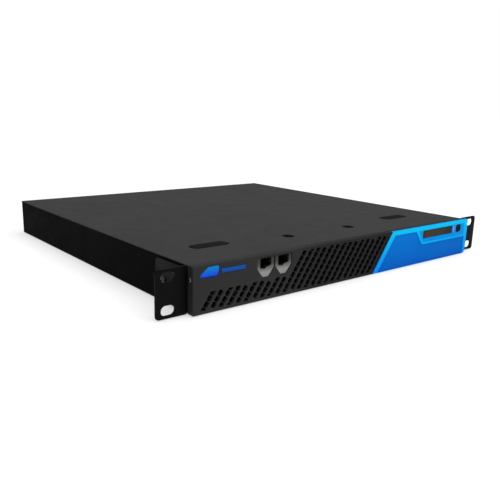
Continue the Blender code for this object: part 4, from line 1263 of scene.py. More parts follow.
# headers, drive sockets, expansion edge and the plug of the front cable
parts += pin_header(-198.0, 232.0, PCB_Z, 2, 9, 2.54, 2.4, 8.2)
parts += pin_header(76.0, 166.0, PCB_Z, 5, 2, 2.54, 2.4, 8.2)
for x in (-156.0, -140.0):
    parts += [tinted(1, carved(rbox(x - 7.2, x + 7.2, 163.0, 168.6, PCB_Z, PCB_Z + 7.4, 0.4, 2),
                               [("-", [box(x - 5.6, x + 5.6, 164.6, 166.2, PCB_Z + 2.0, 30.0)]), ("-", [box(x - 5.6, x - 4.2, 164.6, 167.4, PCB_Z + 2.0, 30.0)])]))]
parts += [tinted(9, carved(rbox(55.0, 65.0, 172.0, 179.6, PCB_Z, PCB_Z + 5.2, 0.3, 2), [("-", [box(56.0, 64.0, 178.2, 181.0, PCB_Z + 1.2, PCB_Z + 4.2)])]))]
# scattered small parts, clear of the larger ones
random.seed(11)
taken = [(-118, -22, 180, 322), (-8, 22, 184, 338), (38, 92, 322, 376), (86, 106, 158, 272), (-194, -122, 362, 408), (-198, -122, 326, 352),
         (-122, -58, 380, 408), (-52, -38, 378, 390), (-24, 4, 352, 380), (-204, -188, 160, 256), (-176, -144, 236, 264), (-188, -172, 200, 212),
         (48, 72, 160, 182), (48, 72, 290, 310), (56, 68, 226, 240), (72, 92, 160, 174), (-170, -130, 160, 172), (-136, -118, 296, 308),
         (26, 44, 260, 272), (-204, -188, 386, 408), (94, 108, 386, 404)]
small = 0
while small < 230:
    x, y = random.uniform(-200.0, 104.0), random.uniform(163.0, 405.0)
    if any(a - 3 < x < b + 3 and c - 3 < y < d + 3 for a, b, c, d in taken):
        continue
    k = random.random()
    if k < 0.5:
        parts += passive(x, y, PCB_Z, 1.9, 1.1, 0.7, random.choice("xy"), body=3)
    elif k < 0.9:
        parts += passive(x, y, PCB_Z, 1.9, 1.1, 0.45, random.choice("xy"), body=1)
    else:
        parts += passive(x, y, PCB_Z, 4.2, 2.4, 1.9, random.choice("xy"), body=10)
        taken.append((x - 3, x + 3, y - 3, y + 3))
    taken.append((x - 0.6, x + 0.6, y - 0.6, y + 0.6))
    small += 1
# rows of decoupling parts beside the processor and the memory
for i in range(12):
    parts += passive(-20.0, 232.0 + 6.0 * i, PCB_Z, 1.9, 1.1, 0.7, "x", body=3)
    parts += passive(24.5, 200.0 + 10.0 * i, PCB_Z, 1.9, 1.1, 0.45, "y", body=1)
piece("mainboard_assembly", "chassis", ["pcb", "epoxy", "tin", "ceramic", "sleeve", "alu", "gold", "ferrite", "nickel", "nylon", "brass"],
      parts, replaces=["mainboard"])

hexes = []
for x, y in ((-196.0, 168.0), (101.0, 168.0), (-196.0, 396.0), (101.0, 396.0)):
    hexes += [prism("z", rounded(ring_pts(x, y, 3.2, 6), 0.15, 1), 1.5, 7.95)]
    hexes += [tinted(1, cross_screw("z", (x, y, 0), 3.0, 9.7, 11.5, 24))]
piece("board_standoffs", "chassis", ["brass", "zinc"], hexes,
      replaces=["standoff_front_left", "standoff_front_right", "standoff_rear_left", "standoff_rear_right"])

# ================================================================ processor and heatsinks
piece("processor_package", "chassis", ["pcb", "nickel", "ceramic", "tin", "soft_black"],
      [rbox(-90.0, -50.0, 245.0, 285.0, 10.4, 11.2, 0.3, 1), tinted(1, rbox(-86.0, -54.0, 249.0, 281.0, 11.2, 12.6, 0.6, 2)),
       tinted(4, carved(rbox(-92.5, -47.5, 242.5, 287.5, PCB_Z + 0.05, 10.4, 0.3, 1), []))]
      + [s for i in range(8) for s in passive(-87.9, 250.5 + 4.2 * i, 11.2, 1.6, 0.9, 0.5, "y", body=2, lead=3)],
      replaces=["processor"])
fins = [rbox(-112.0, -28.0, 223.0, 307.0, 13.0, 17.0, 0.3, 2)]
pitch = (84.0 - 1.4) / 14
for i in range(15):
    x = -112.0 + pitch * i
    lo, hi = (236.0, 294.0) if i in (0, 1, 13, 14) else (223.0, 307.0)
    fins.append(rbox(x + 0.2, x + 1.2, lo, hi, 16.8, 37.0, 0.3, 2))
for x in (-106.5, -33.5):
    for y in (229.5, 300.5):
        fins.append(tinted(1, sweep([(x + 2.5 * math.cos(t * 0.9), y + 2.5 * math.sin(t * 0.9), 17.4 + t * 0.16) for t in range(44)], 0.32, 6)))
        fins.append(tinted(1, cross_screw("z", (x, y, 0), 3.6, 24.4, 26.6, 24)))
        fins.append(tinted(1, cyl("z", (x, y, 0), 1.5, 9.7, 24.6, 14)))
fins.append(tinted(2, rbox(-88.0, -52.0, 247.0, 283.0, 12.62, 13.02, 0.1, 1)))
piece("processor_heatsink", "chassis", ["alu", "zinc", "ferrite"], fins, replaces=["cpu_heatsink"])
pins = [rbox(44.0, 84.0, 330.0, 370.0, 9.9, 12.6, 0.3, 2)]
for i in range(9):
    x = 44.0 + (40.0 - 1.4) / 8 * i
    for j in range(6):
        y = 330.3 + 6.9 * j
        pins.append(rbox(x + 0.1, x + 1.3, y, y + 4.6, 12.4, 24.0, 0.25, 1))
for x, y in ((40.8, 333.0), (87.2, 367.0)):
    pins += [tinted(1, cross_screw("z", (x, y, 0), 2.6, 13.4, 15.2, 20)), tinted(1, cyl("z", (x, y, 0), 1.2, 9.7, 13.6, 12)),
             tinted(0, rbox(min(x, 44.2 if x < 60 else x) - (0.0 if x > 60 else 2.6), max(x, 83.8 if x > 60 else x) + (2.6 if x > 60 else 0.0) if x > 60 else 44.4,
                            y - 2.6, y + 2.6, 11.8, 13.3, 0.3, 1)) if x < 60 else tinted(0, rbox(83.6, x + 2.6, y - 2.6, y + 2.6, 11.8, 13.3, 0.3, 1))]
piece("chipset_cooler", "chassis", ["alu", "zinc"], pins, replaces=["chipset_heatsink"])

# ================================================================ memory
for n, x in (("a", 0.0), ("b", 14.0)):
    body = carved(rbox(x - 3.3, x + 3.3, 190.0, 332.0, 9.9, 17.0, 0.4, 2), [
        ("-", [box(x - 1.0, x + 1.0, 194.0, 328.0, 12.0, 20.0)]),
        ("-", [box(x + s * 3.35 - 0.35, x + s * 3.35 + 0.35, 198.0, 324.0, 12.4, 14.8) for s in (-1, 1)])])
    sock = [body]
    for i in range(52):
        y = 197.0 + 2.48 * i
        if abs(y - 266.0) < 2.0:
            continue
        for s in (-1, 1):
            sock.append(tinted(1, rbox(x + s * 1.16 - 0.18, x + s * 1.16 + 0.18, y - 0.35, y + 0.35, 12.6, 17.12, 0.08, 1)))
    for y, s in ((190.0, -1), (332.0, 1)):
        lever = [(y - s * 3.6, 13.0), (y - s * 0.4, 13.0), (y + s * 1.2, 17.0), (y + s * 2.6, 23.4), (y + s * 1.2, 25.2), (y - s * 1.4, 25.2),
                 (y - s * 1.8, 22.0), (y - s * 3.6, 20.6)]
        sock.append(tinted(2, turned(prism("x", rounded(lever, 0.7, 2), x - 2.2, x + 2.2), Matrix.Identity(4))))
    piece("memory_socket_%s" % n, "chassis", ["black", "gold", "nylon"], sock, replaces=["dimm_socket_%s" % n])
    edge_line = [(194.4, 12.3), (264.4, 12.3), (264.4, 14.6), (266.8, 14.6), (266.8, 12.3), (327.6, 12.3), (327.6, 20.0), (326.2, 20.6),
                 (326.2, 22.6), (327.6, 23.2), (327.6, 40.6), (194.4, 40.6), (194.4, 23.2), (195.8, 22.6), (195.8, 20.6), (194.4, 20.0)]
    mod = [prism("x", edge_line, x - 0.6, x + 0.6)]
    for s in (-1, 1):
        for i in range(9):
            y = 202.0 + 14.4 * i + (1.2 if i > 4 else 0)
            if i == 4:
                mod.append(tinted(1, rbox(min(x + s * 0.6, x + s * 1.3), max(x + s * 0.6, x + s * 1.3), y - 2.4, y + 2.4, 24.0, 28.0, 0.1, 1)))
                continue
            a, b = sorted((x + s * 0.62, x + s * 1.62))
            mod.append(tinted(1, rbox(a, b, y - 5.2, y + 5.2, 23.0, 36.0, 0.15, 1)))
            a, b = sorted((x + s * 0.6, x + s * 0.74))
            for k in range(6):
                for zz in (22.7, 36.3):
                    mod.append(tinted(2, box(a, b, y - 4.6 + 1.8 * k, y - 4.0 + 1.8 * k, zz - 0.45, zz + 0.45)))
            for k in range(3):
                a, b = sorted((x + s * 0.6, x + s * 1.0))
                mod.append(tinted(3, rbox(a, b, y - 4.0 + 3.4 * k, y - 2.6 + 3.4 * k, 19.4, 20.2, 0.08, 1)))
        for i in range(100):
            y = 196.2 + 1.31 * i
            if 263.2 < y < 268.0:
                continue
            a, b = sorted((x + s * 0.58, x + s * 0.66))
            mod.append(tinted(2, box(a, b, y - 0.42, y + 0.42, 12.7, 18.2)))
    piece("memory_stick_%s" % n, "chassis", ["pcb_dimm", "epoxy", "gold", "ceramic"], mod, replaces=["memory_module_%s" % n])

# ================================================================ power plug, main cable, front cable
plug = [carved(rbox(91.0, 101.0, 180.0, 232.0, 9.9, 15.0, 0.4, 2), []),
        carved(rbox(91.5, 100.5, 181.0, 231.0, 15.0, 22.0, 0.5, 2),
               [("-", [cyl("z", (cx, 184.2 + 4.2 * i, 0), 1.35, 19.0, 25.0, 14) for i in range(11) for cx in (93.8, 98.2)]
                 + [box(101.2, 100.0, 181.0 + 4.2 * i + 1.0, 181.0 + 4.2 * i + 1.5, 15.4, 21.6) for i in range(1, 11)])]),
        prism("y", [(100.4, 14.0), (102.6, 14.4), (103.0, 16.4), (102.0, 22.6), (101.2, 22.8), (101.4, 17.0), (100.4, 16.4)], 203.0, 209.0)]
piece("power_plug", "chassis", ["nylon"], plug, replaces=["power_connector"])
wires = []
WIRE_TONES = (0, 1, 2, 1, 3, 0, 1, 2, 3, 1, 0)
main_route = smooth_route([(150.0, 261.9, 20.0), (150.0, 248.0, 20.0), (142.0, 226.0, 22.0), (124.0, 212.0, 26.5), (110.0, 207.0, 30.0)], 6)
for i in range(11):
    ang, rad = (2 * math.pi * i / 8, 2.25) if i < 8 else (2 * math.pi * i / 3, 0.95)
    path = []
    for j, p in enumerate(main_route):
        q = main_route[min(j + 1, len(main_route) - 1)]
        d = (q - p) if (q - p).length > 1e-6 else p - main_route[j - 1]
        d.normalize()
        side = d.cross(Vector((0, 0, 1))).normalized()
        up = side.cross(d)
        t = ang + j * 0.06
        path.append(p + (side * math.cos(t) + up * math.sin(t)) * rad)
    hx, hy = (93.8, 98.2)[i % 2], 184.2 + 4.2 * i
    mid = Vector((103.0, 206.0 + (hy - 206.0) * 0.45, 30.6 + 0.5 * (i % 3)))
    path = path[:-1] + smooth_route([path[-1], mid, Vector((hx + 1.6, hy, 29.6)), Vector((hx, hy, 26.0)), Vector((hx, hy, 19.6))], 5)
    wires.append(tinted(WIRE_TONES[i], sweep(path, 0.82, 8)))
ties = [tinted(4, sweep([Vector(c) + (a * math.cos(t * math.pi / 8) + b * math.sin(t * math.pi / 8)) * 3.35 for t in range(17)], 0.42, 6))
        for c, a, b in (((149.6, 246.0, 20.0), Vector((1, 0, 0)), Vector((0, 0, 1))), ((131.6, 217.2, 24.6), Vector((0.52, -0.85, 0)), Vector((0, 0, 1))))]
piece("power_wires", "chassis", ["black_wire", "red_wire", "yellow_wire", "orange_wire", "nylon"], wires + ties, replaces=["psu_cable"])
strands = []
front_route = smooth_route([(150.0, 16.0, 22.0), (150.0, 24.0, 21.5), (142.0, 52.0, 8.0), (118.0, 92.0, 4.6), (84.0, 140.0, 5.0),
                            (66.0, 152.0, 9.0), (60.0, 158.0, 13.0), (60.0, 168.0, 15.4), (60.0, 174.0, 13.9)], 6)
for i in range(6):
    path = []
    for j, p in enumerate(front_route):
        q = front_route[min(j + 1, len(front_route) - 1)]
        d = (q - p) if (q - p).length > 1e-6 else p - front_route[j - 1]
        d = d.normalized()
        side = d.cross(Vector((0, 0, 1))).normalized()
        up = side.cross(d)
        t = 2 * math.pi * i / 5 + j * 0.16
        path.append(p + (side * math.cos(t) + up * math.sin(t)) * (1.12 if i < 5 else 0.0))
    strands.append(tinted((0, 1, 2, 3, 4, 0)[i], sweep(path, 0.58, 7)))
piece("front_wires", "chassis", ["black_wire", "red_wire", "grey_wire", "yellow_wire", "orange_wire"], strands, replaces=["front_cable"])

# ================================================================ drive and its bracket
bracket = carved(prism("y", rounded([(-200.4, 1.5), (-125.8, 1.5), (-125.8, 18.0), (-127.0, 18.0), (-127.0, 2.7), (-199.2, 2.7), (-199.2, 18.0),
                                     (-200.4, 18.0)], [1.2, 1.2, 0.3, 0.3, 0.6, 0.6, 0.3, 0.3], 3), 28.0, 132.0),
                 [("-", [prism("z", round_rect(-190 + 23 * i, -176 + 23 * i, 46.0, 114.0, 4.0, 4), 0.0, 5.0) for i in range(3)]),
                  ("-", [cyl("x", (0, y, 11.0), 1.7, a, b, 16) for y in (44.0, 116.0) for a, b in ((-202.0, -198.0), (-128.0, -124.0))])],
                 bevel=0.12, seg=1, angle=60)
bits = [bracket]
for y in (44.0, 116.0):
    bits += [tinted(1, cross_screw("x", (0, y, 11.0), 2.6, -200.4, -202.0, 20)), tinted(1, cross_screw("x", (0, y, 11.0), 2.6, -125.8, -124.2, 20))]
piece("drive_cradle", "chassis", ["zinc", "nickel"], bits, replaces=["drive_bracket"])
drive = [carved(rbox(-198.05, -128.2, 30.0, 130.0, 8.0, 14.4, 0.7, 2), [("-", [box(-186.0, -140.0, 125.0, 132.0, 9.2, 13.0)])]),
         tinted(1, carved(rbox(-197.2, -129.0, 31.0, 123.6, 14.3, 15.0, 0.3, 2),
                          [("-", [prism("z", round_rect(-190.0, -136.2, 38.0, 100.0, 12.0, 8), 14.75, 16.0)])], bevel=0.12, seg=1)),
         tinted(2, rbox(-184.0, -142.0, 104.5, 120.5, 14.98, 15.06, 0.02, 1)),
         tinted(3, rbox(-185.6, -140.4, 127.0, 129.6, 10.4, 11.8, 0.2, 1)), tinted(5, rbox(-186.0, -140.0, 125.3, 126.2, 9.2, 13.0, 0.1, 1))]
for x, y in ((-194.2, 34.0), (-132.0, 34.0), (-194.2, 120.0), (-132.0, 120.0), (-194.2, 78.0), (-132.0, 78.0)):
    drive.append(tinted(4, cross_screw("z", (x, y, 0), 1.5, 14.95, 15.4, 16)))
piece("drive_unit", "chassis", ["drive_alu", "alu", "paper", "black", "zinc", "pcb"], drive, replaces=["storage_drive"])
ribbon = [sweep(smooth_route([(-160.0, 129.0, 11.1), (-160.0, 138.0, 11.4), (-158.0, 150.0, 17.0), (-156.0, 160.0, 22.6), (-156.0, 165.4, 21.6),
                              (-156.0, 165.6, 16.0)], 6), 1.0, 8),
          sweep(smooth_route([(-157.6, 129.0, 11.1), (-157.6, 138.0, 11.4), (-155.6, 150.0, 17.0), (-153.6, 160.0, 22.6), (-153.6, 165.4, 21.6),
                              (-153.6, 165.6, 16.0)], 6), 1.0, 8),
          tinted(1, rbox(-160.4, -149.2, 163.6, 167.4, 15.2, 21.0, 0.6, 2)),
          tinted(1, rbox(-164.6, -153.0, 127.4, 134.0, 9.6, 12.8, 0.5, 2))]
piece("drive_lead", "chassis", ["red_wire", "black"], ribbon)

# ================================================================ front boards, display and switch
fp = [plate("z", rounded([(-146, 10.4), (-91, 10.4), (-91, 52), (-146, 52)], 1.2, 3), 26.9, 25.3,
            holes=[ring_pts(-142.4, 48.4, 1.6), ring_pts(-94.6, 48.4, 1.6)], edge=[(0.1, 0.0), (0.0, 0.1)])]
fp += chip(-130.6, 33.0, 26.9, 12.6, 9.0, 3.2, 8, 0) + chip(-104.4, 33.0, 26.9, 12.6, 9.0, 3.2, 8, 0)
fp += pin_header(-125.0, 45.0, 26.9, 7, 2, 2.54, 2.4, 8.0, body=1, pin=4)
for i in range(9):
    fp += passive(-140.0 + 5.6 * i, 41.4, 26.9, 1.9, 1.1, 0.6, "x", body=3 if i % 2 else 1)
fp += [tinted(5, prism("z", ring_pts(-94.6, 48.4, 2.8, 6), 1.3, 25.2)), tinted(5, prism("z", ring_pts(-118.4, 48.4, 2.8, 6), 1.3, 25.2)),
       tinted(2, cross_screw("z", (-94.6, 48.4, 0), 2.6, 27.0, 28.6, 20))]
piece("front_port_card", "chassis", ["pcb", "epoxy", "tin", "ceramic", "gold", "brass"], fp, replaces=["front_port_board"])
io = [plate("y", rounded([(110, 14), (203, 14), (203, 41), (110, 41)], 1.0, 3), 12.4, 14.0, holes=[ring_pts(113.4, 18.0, 1.5), ring_pts(199.6, 18.0, 1.5)],
            edge=[(0.1, 0.0), (0.0, 0.1)])]
io += [tinted(2, rbox(144.4, 155.6, 13.9, 19.2, 19.4, 24.6, 0.4, 2)), tinted(1, rbox(164.0, 174.0, 13.95, 15.6, 18.0, 25.0, 0.15, 1)),
       tinted(1, rbox(124.0, 131.0, 13.95, 15.4, 26.0, 33.0, 0.15, 1)), tinted(4, rbox(179.2, 181.2, 10.6, 12.5, 31.4, 36.8, 0.4, 2))]
for i in range(8):
    io.append(tinted(3, box(165.0 + 1.15 * i, 165.4 + 1.15 * i, 13.95, 14.4, 16.9, 26.1)))
    io.append(tinted(5, rbox(180.0 + 2.4 * (i % 4), 181.6 + 2.4 * (i % 4), 13.95, 14.6, 19.0 + 4.0 * (i // 4), 19.9 + 4.0 * (i // 4), 0.08, 1)))
for x in (113.4, 199.6):
    io.append(tinted(6, cross_screw("y", (x, 0, 18.0), 2.6, 14.0, 15.5, 20)))
    io.append(tinted(6, cyl("y", (x, 0, 18.0), 2.4, 9.6, 12.5, 16)))
piece("front_panel_card", "chassis", ["pcb_up", "epoxy", "nylon", "tin", "lilac", "ceramic", "zinc"], io, replaces=["front_io_board"])
lcd = [tinted(1, carved(rbox(116.0, 176.0, 6.6, 12.1, 28.5, 39.8, 0.4, 2), [("-", [box(119.0, 173.0, 5.0, 7.4, 30.6, 37.6)])])),
       tinted(0, rbox(118.8, 173.2, 6.9, 7.6, 30.4, 37.8, 0.1, 1))]
for x in (122.0, 140.0, 152.0, 170.0):
    lcd += [tinted(1, rbox(x - 1.4, x + 1.4, 11.6, 12.39, 28.3, 29.2, 0.1, 1)), tinted(1, rbox(x - 1.4, x + 1.4, 11.6, 12.39, 39.1, 40.0, 0.1, 1))]
piece("display_unit", "chassis", ["lcd", "soft_black"], lcd, replaces=["display_module"])
sw = [rbox(186.4, 192.8, 9.9, 12.1, 31.0, 37.4, 0.3, 2), tinted(1, carved(rbox(186.5, 192.7, 9.5, 9.95, 31.1, 37.3, 0.15, 1), [("-", [cyl("y", (189.6, 0, 34.2), 2.0, 8.0, 11.0, 24)])])),
      lathe("y", (189.6, 0, 34.2), [(0.0, 8.5), (1.5, 8.5), (1.7, 8.7), (1.7, 10.2), (0.0, 10.2)], 24)]
for x in (187.6, 191.6):
    for z in (30.6, 37.8):
        sw.append(tinted(1, rbox(x - 0.4, x + 0.4, 11.2, 12.4, z - 0.5, z + 0.5, 0.1, 1)))
piece("button_switch_unit", "chassis", ["black", "nickel"], sw, replaces=["button_switch"])


# ================================================================ fans
def fan_blade(c, r0, r1, mid, chord, twist0, twist1, thick, lean, start):
    """Cambered blade wrapped round the hub: chord, twist and lean change along the radius."""
    def make(bm):
        nu, nv = 6, 8
        loops = []
        for i in range(nu + 1):
            u = i / nu
            r = r0 + (r1 - r0) * u
            tw = math.radians(twist0 + (twist1 - twist0) * u)
            at = start + math.radians(lean) * u * u
            long = chord * (1.0 + 0.22 * u - 0.18 * u * u * u)
            up, down = [], []
            for k in range(nv + 1):
                v = k / nv - 0.5
                camber = 0.085 * long * (1 - 4 * v * v)
                t = 0.5 * thick * (1.0 - 0.75 * (2 * v) ** 4)
                up.append((v * long, camber + t))
                down.append((v * long, camber - t))
            ring = []
            for s, h in up + down[::-1]:
                across = s * math.cos(tw) - h * math.sin(tw)
                along = s * math.sin(tw) + h * math.cos(tw)
                a = at + across / r
                ring.append(bm.verts.new((c[0] + r * math.cos(a), mid + along, c[2] + r * math.sin(a))))
            loops.append(ring)
        made = ring_walls(bm, loops)
        m = 2 * (nv + 1)
        for ring in (loops[0], loops[-1]):
            for k in range(nv):
                made.append(bm.faces.new((ring[k], ring[k + 1], ring[m - 2 - k], ring[m - 1 - k])))
        bmesh.ops.recalc_face_normals(bm, faces=made)
    return make


def build_fan(frame_name, rotor_name, body, cx, y0, cz, size, depth, old_frame, old_rotor):
    h, hub = size / 2, size * 0.25
    rd = h - 1.4
    y1 = y0 + depth
    c = (cx, 0.0, cz)
    off = h - size * 0.1
    corners = [(cx + sx * off, cz + sz * off) for sx in (-1, 1) for sz in (-1, 1)]
    relief = size * 0.145
    cuts = []
    for sx in (-1, 1):
        for sz in (-1, 1):
            a, b = sorted((cx + sx * (h - relief), cx + sx * (h + 2)))
            d, e = sorted((cz + sz * (h - relief), cz + sz * (h + 2)))
            cuts.append(box(a, b, y0 + 3.4, y1 - 3.4, d, e))
    frame_shape = carved(prism("y", round_rect(cx - h, cx + h, cz - h, cz + h, size * 0.075, 5), y0, y1), [
        ("-", [lathe("y", c, [(0.0, y0 - 1), (rd + 0.9, y0 - 1), (rd + 0.9, y0), (rd, y0 + 1.6), (rd, y1 - 1.6), (rd + 0.9, y1), (rd + 0.9, y1 + 1), (0.0, y1 + 1)], 56)]),
        ("-", cuts), ("-", [cyl("y", (x, 0, z), size * 0.043, y0 - 2, y1 + 2, 18) for x, z in corners])], bevel=0.22, seg=2, angle=50)
    shapes = [frame_shape]
    for a in (30, 150, 270):
        arm = []
        for k in range(9):
            r = hub - 1.2 + (rd + 0.5 - hub + 1.2) * k / 8
            t = math.radians(a + 14.0 * (k / 8) ** 2)
            arm.append((cx + r * math.cos(t), y1 - 1.6, cz + r * math.sin(t)))
        shapes.append(sweep(arm, 1.05, 8))
    shapes.append(lathe("y", c, [(0.0, y1 - 3.4), (hub - 0.8, y1 - 3.4), (hub - 0.4, y1 - 3.0), (hub - 0.4, y1 - 0.5), (hub - 0.8, y1 - 0.15), (0.0, y1 - 0.15)], 36))
    shapes.append(lathe("y", c, [(0.0, y1 - 9.0), (hub - 2.6, y1 - 9.0), (hub - 2.6, y1 - 3.2), (0.0, y1 - 3.2)], 24))
    shapes.append(tinted(1, lathe("y", c, [(0.0, y1 - 0.16), (hub - 1.3, y1 - 0.16), (hub - 1.3, y1 - 0.06), (0.0, y1 - 0.06)], 36)))
    for j in range(3):
        t0 = math.radians(30 + 5)
        lead = []
        for k in range(8):
            r = hub - 2.0 + (rd + 0.2 - hub + 2.0) * k / 7
            t = t0 + math.radians(14.0 * (k / 7) ** 2)
            lead.append((cx + r * math.cos(t) - math.sin(t) * (1.0 + 0.75 * j), y1 - 1.0, cz + r * math.sin(t) + math.cos(t) * (1.0 + 0.75 * j) * 0.4 + 0.7 * j))
        shapes.append(tinted(2 + j, sweep(lead, 0.33, 6)))
    piece(frame_name, "chassis", ["soft_black", "paper", "black_wire", "red_wire", "yellow_wire"], shapes, replaces=[old_frame])
    r0, r1 = y0 + 1.6, y1 - 4.0
    mid = (r0 + r1) / 2
    cup = lathe("y", c, [(0.0, r0 + 0.25), (hub - 3.2, r0 + 0.15), (hub - 2.0, r0), (hub - 0.9, r0 + 0.25), (hub - 0.2, r0 + 0.9), (hub, r0 + 1.9),
                         (hub, r1), (hub - 1.2, r1), (hub - 1.4, r1 - 0.4), (hub - 1.6, r0 + 2.2), (hub - 2.4, r0 + 1.7), (0.0, r0 + 1.7)], 44)
    blades = [fan_blade(c, hub - 0.35, rd - 0.9, mid, size * 0.30, 46.0, 27.0, 1.05, 16.0, 2 * math.pi * i / 7) for i in range(7)]
    piece(rotor_name, body, ["rotor", "paper"], [cup, tinted(1, lathe("y", c, [(0.0, r0 + 0.02), (hub - 4.2, r0 + 0.02), (hub - 4.2, r0 + 0.3), (0.0, r0 + 0.3)], 30))] + blades,
          replaces=[old_rotor])


for n, x in (("1", -73.0), ("2", -22.0), ("3", 21.5)):
    build_fan("fan_%s_housing" % n, "fan_%s_wheel" % n, "fan_rotor_%s" % n, x, 104.0, 21.5, 40.0, 20.0, "fan_frame_%s" % n, "fan_rotor_%s" % n)
build_fan("psu_fan_housing", "psu_fan_wheel", "psu_fan_rotor", 141.0, 400.2, 20.6, 34.0, 14.5, "psu_fan_frame", "psu_fan_rotor")
# wall of sheet that carries the three fans
wall = [plate("y", [(-118.0, 1.25), (60.0, 1.25), (60.0, 41.0), (-118.0, 41.0)], 102.2, 103.4,
              holes=[ring_pts(x, 21.5, 18.9, 48) for x in (-73.0, -22.0, 21.5)]
              + [ring_pts(x + a, 21.5 + b, 1.3, 12) for x in (-73.0, -22.0, 21.5) for a in (-16.0, 16.0) for b in (-16.0, 16.0)],
              edge=[(0.2, 0.0), (0.0, 0.2)]), rbox(-118.0, 60.0, 94.0, 103.4, 1.25, 2.35, 0.3, 1)]
for x in (-73.0, -22.0, 21.5):
    for a in (-16.0, 16.0):
        for b in (-16.0, 16.0):
            wall.append(tinted(1, cross_screw("y", (x + a, 0, 21.5 + b), 2.2, 102.2, 100.9, 18)))
piece("fan_wall", "chassis", ["zinc", "nickel"], wall)

# ================================================================ power supply
px0, px1, py0, py1, pz0, pz1 = 120.0, 205.0, 262.0, 416.3, 1.6, 39.6
psu = carved(rbox(px0, px1, py0, py1, pz0, pz1, 0.7, 2), [
    ("-", [box(px0 + 1.2, px1 - 1.2, py0 + 1.2, py1 - 1.2, pz0 + 1.2, pz1 - 1.2)]),
    ("-", [cyl("y", (141.0, 0, 20.6), 15.6, 410.0, 420.0, 56), box(176.1, 201.7, 410.0, 420.0, 10.3, 30.9), box(162.1, 171.9, 410.0, 420.0, 11.9, 29.3)]),
    ("-", [prism("y", round_rect(157.6 + 6.2 * i, 161.2 + 6.2 * i, 9.0, 31.0, 1.7, 4), 260.0, 266.0) for i in range(7)]
          + [prism("y", round_rect(124.0 + 6.2 * i, 127.6 + 6.2 * i, 9.0, 31.0, 1.7, 4), 260.0, 266.0) for i in range(3)]),
    ("-", [cyl("y", (150.0, 0, 20.0), 4.6, 260.0, 266.0, 32)]),
    ("-", [prism("x", round_rect(300.0 + 9.0 * i, 306.0 + 9.0 * i, 12.0, 30.0, 1.4, 3), 118.0, 123.0) for i in range(7)]),
], bevel=0.18, seg=1, angle=50)
supply = [psu, tinted(3, rbox(px0 + 0.1, px1 - 0.1, py0 + 0.15, py1 - 6.0, pz1 - 0.1, pz1 + 0.55, 0.25, 2)),
          tinted(1, rbox(134.0, 192.0, 300.0, 370.0, pz1 + 0.5, pz1 + 0.62, 0.03, 1)),
          tinted(2, lathe("y", (150.0, 0, 20.0), [(3.5, 259.6), (5.4, 259.6), (5.6, 260.4), (4.6, 261.4), (4.6, 263.4), (5.6, 263.6), (5.2, 264.8), (3.5, 264.8)], 32))]
for x, y in ((124.5, 268.0), (200.5, 268.0), (124.5, 404.0), (200.5, 404.0)):
    supply.append(tinted(3, cross_screw("z", (x, y, 0), 2.3, pz1 + 0.5, pz1 + 0.98, 20, deep=0.8)))
for r in (4.2, 8.2, 12.0, 15.4):
    supply.append(tinted(3, sweep([(141.0 + r * math.cos(t * math.pi / 24), 417.0, 20.6 + r * math.sin(t * math.pi / 24)) for t in range(49)], 0.62, 8)))
for a in (45, 135):
    t = math.radians(a)
    supply.append(tinted(3, sweep([(141.0 - 18.0 * math.cos(t), 416.7, 20.6 - 18.0 * math.sin(t)), (141.0, 417.5, 20.6), (141.0 + 18.0 * math.cos(t), 416.7, 20.6 + 18.0 * math.sin(t))], 0.7, 8)))
supply.append(tinted(3, lathe("y", (141.0, 0, 20.6), [(0.0, 416.8), (2.6, 416.8), (2.6, 417.6), (2.0, 418.0), (0.0, 418.0)], 28)))
for sx in (-1, 1):
    for sz in (-1, 1):
        supply.append(tinted(3, cross_screw("y", (141.0 + sx * 13.6, 0, 20.6 + sz * 13.6), 2.0, 416.3, 417.9, 18)))
piece("supply_case", "chassis", ["zinc", "paper", "soft_black", "nickel"], supply, replaces=["psu_case"])
face = [(176.4, 10.6), (201.4, 10.6), (201.4, 27.0), (197.8, 30.6), (180.0, 30.6), (176.4, 27.0)]
mouth = [(179.0, 13.4), (198.8, 13.4), (198.8, 25.0), (196.0, 27.8), (181.8, 27.8), (179.0, 25.0)]
inlet = carved(prism("y", round_rect(174.4, 203.3, 9.2, 32.0, 1.6, 4), 416.6, 418.8), [
    ("+", [prism("y", face, 402.0, 417.4)]), ("-", [prism("y", rounded(mouth, 0.9, 3), 404.6, 422.0)])], bevel=0.3, seg=2, angle=50)
inlet_parts = [inlet]
for x, z in ((184.9, 18.5), (192.9, 18.5), (188.9, 23.8)):
    inlet_parts.append(tinted(1, rbox(x - 1.0, x + 1.0, 404.0, 412.0, z - 2.0, z + 2.0, 0.5, 2)))
piece("mains_inlet_body", "chassis", ["black", "nickel"], inlet_parts, replaces=["psu_inlet"])
bezel_r = carved(prism("y", round_rect(160.8, 173.2, 10.6, 30.6, 1.2, 4), 416.6, 418.2), [
    ("+", [box(162.4, 171.6, 404.5, 417.4, 12.2, 29.0)]), ("-", [prism("y", round_rect(163.2, 170.8, 13.0, 28.2, 0.5, 2), 406.0, 422.0)])], bevel=0.25, seg=2, angle=50)
piece("rocker_surround", "chassis", ["black"], [bezel_r], replaces=["psu_rocker_frame"])
tilt = math.radians(-8.0)


def tip(y, z):
    return (413.0 + y * math.cos(tilt) - z * math.sin(tilt), 20.6 + y * math.sin(tilt) + z * math.cos(tilt))


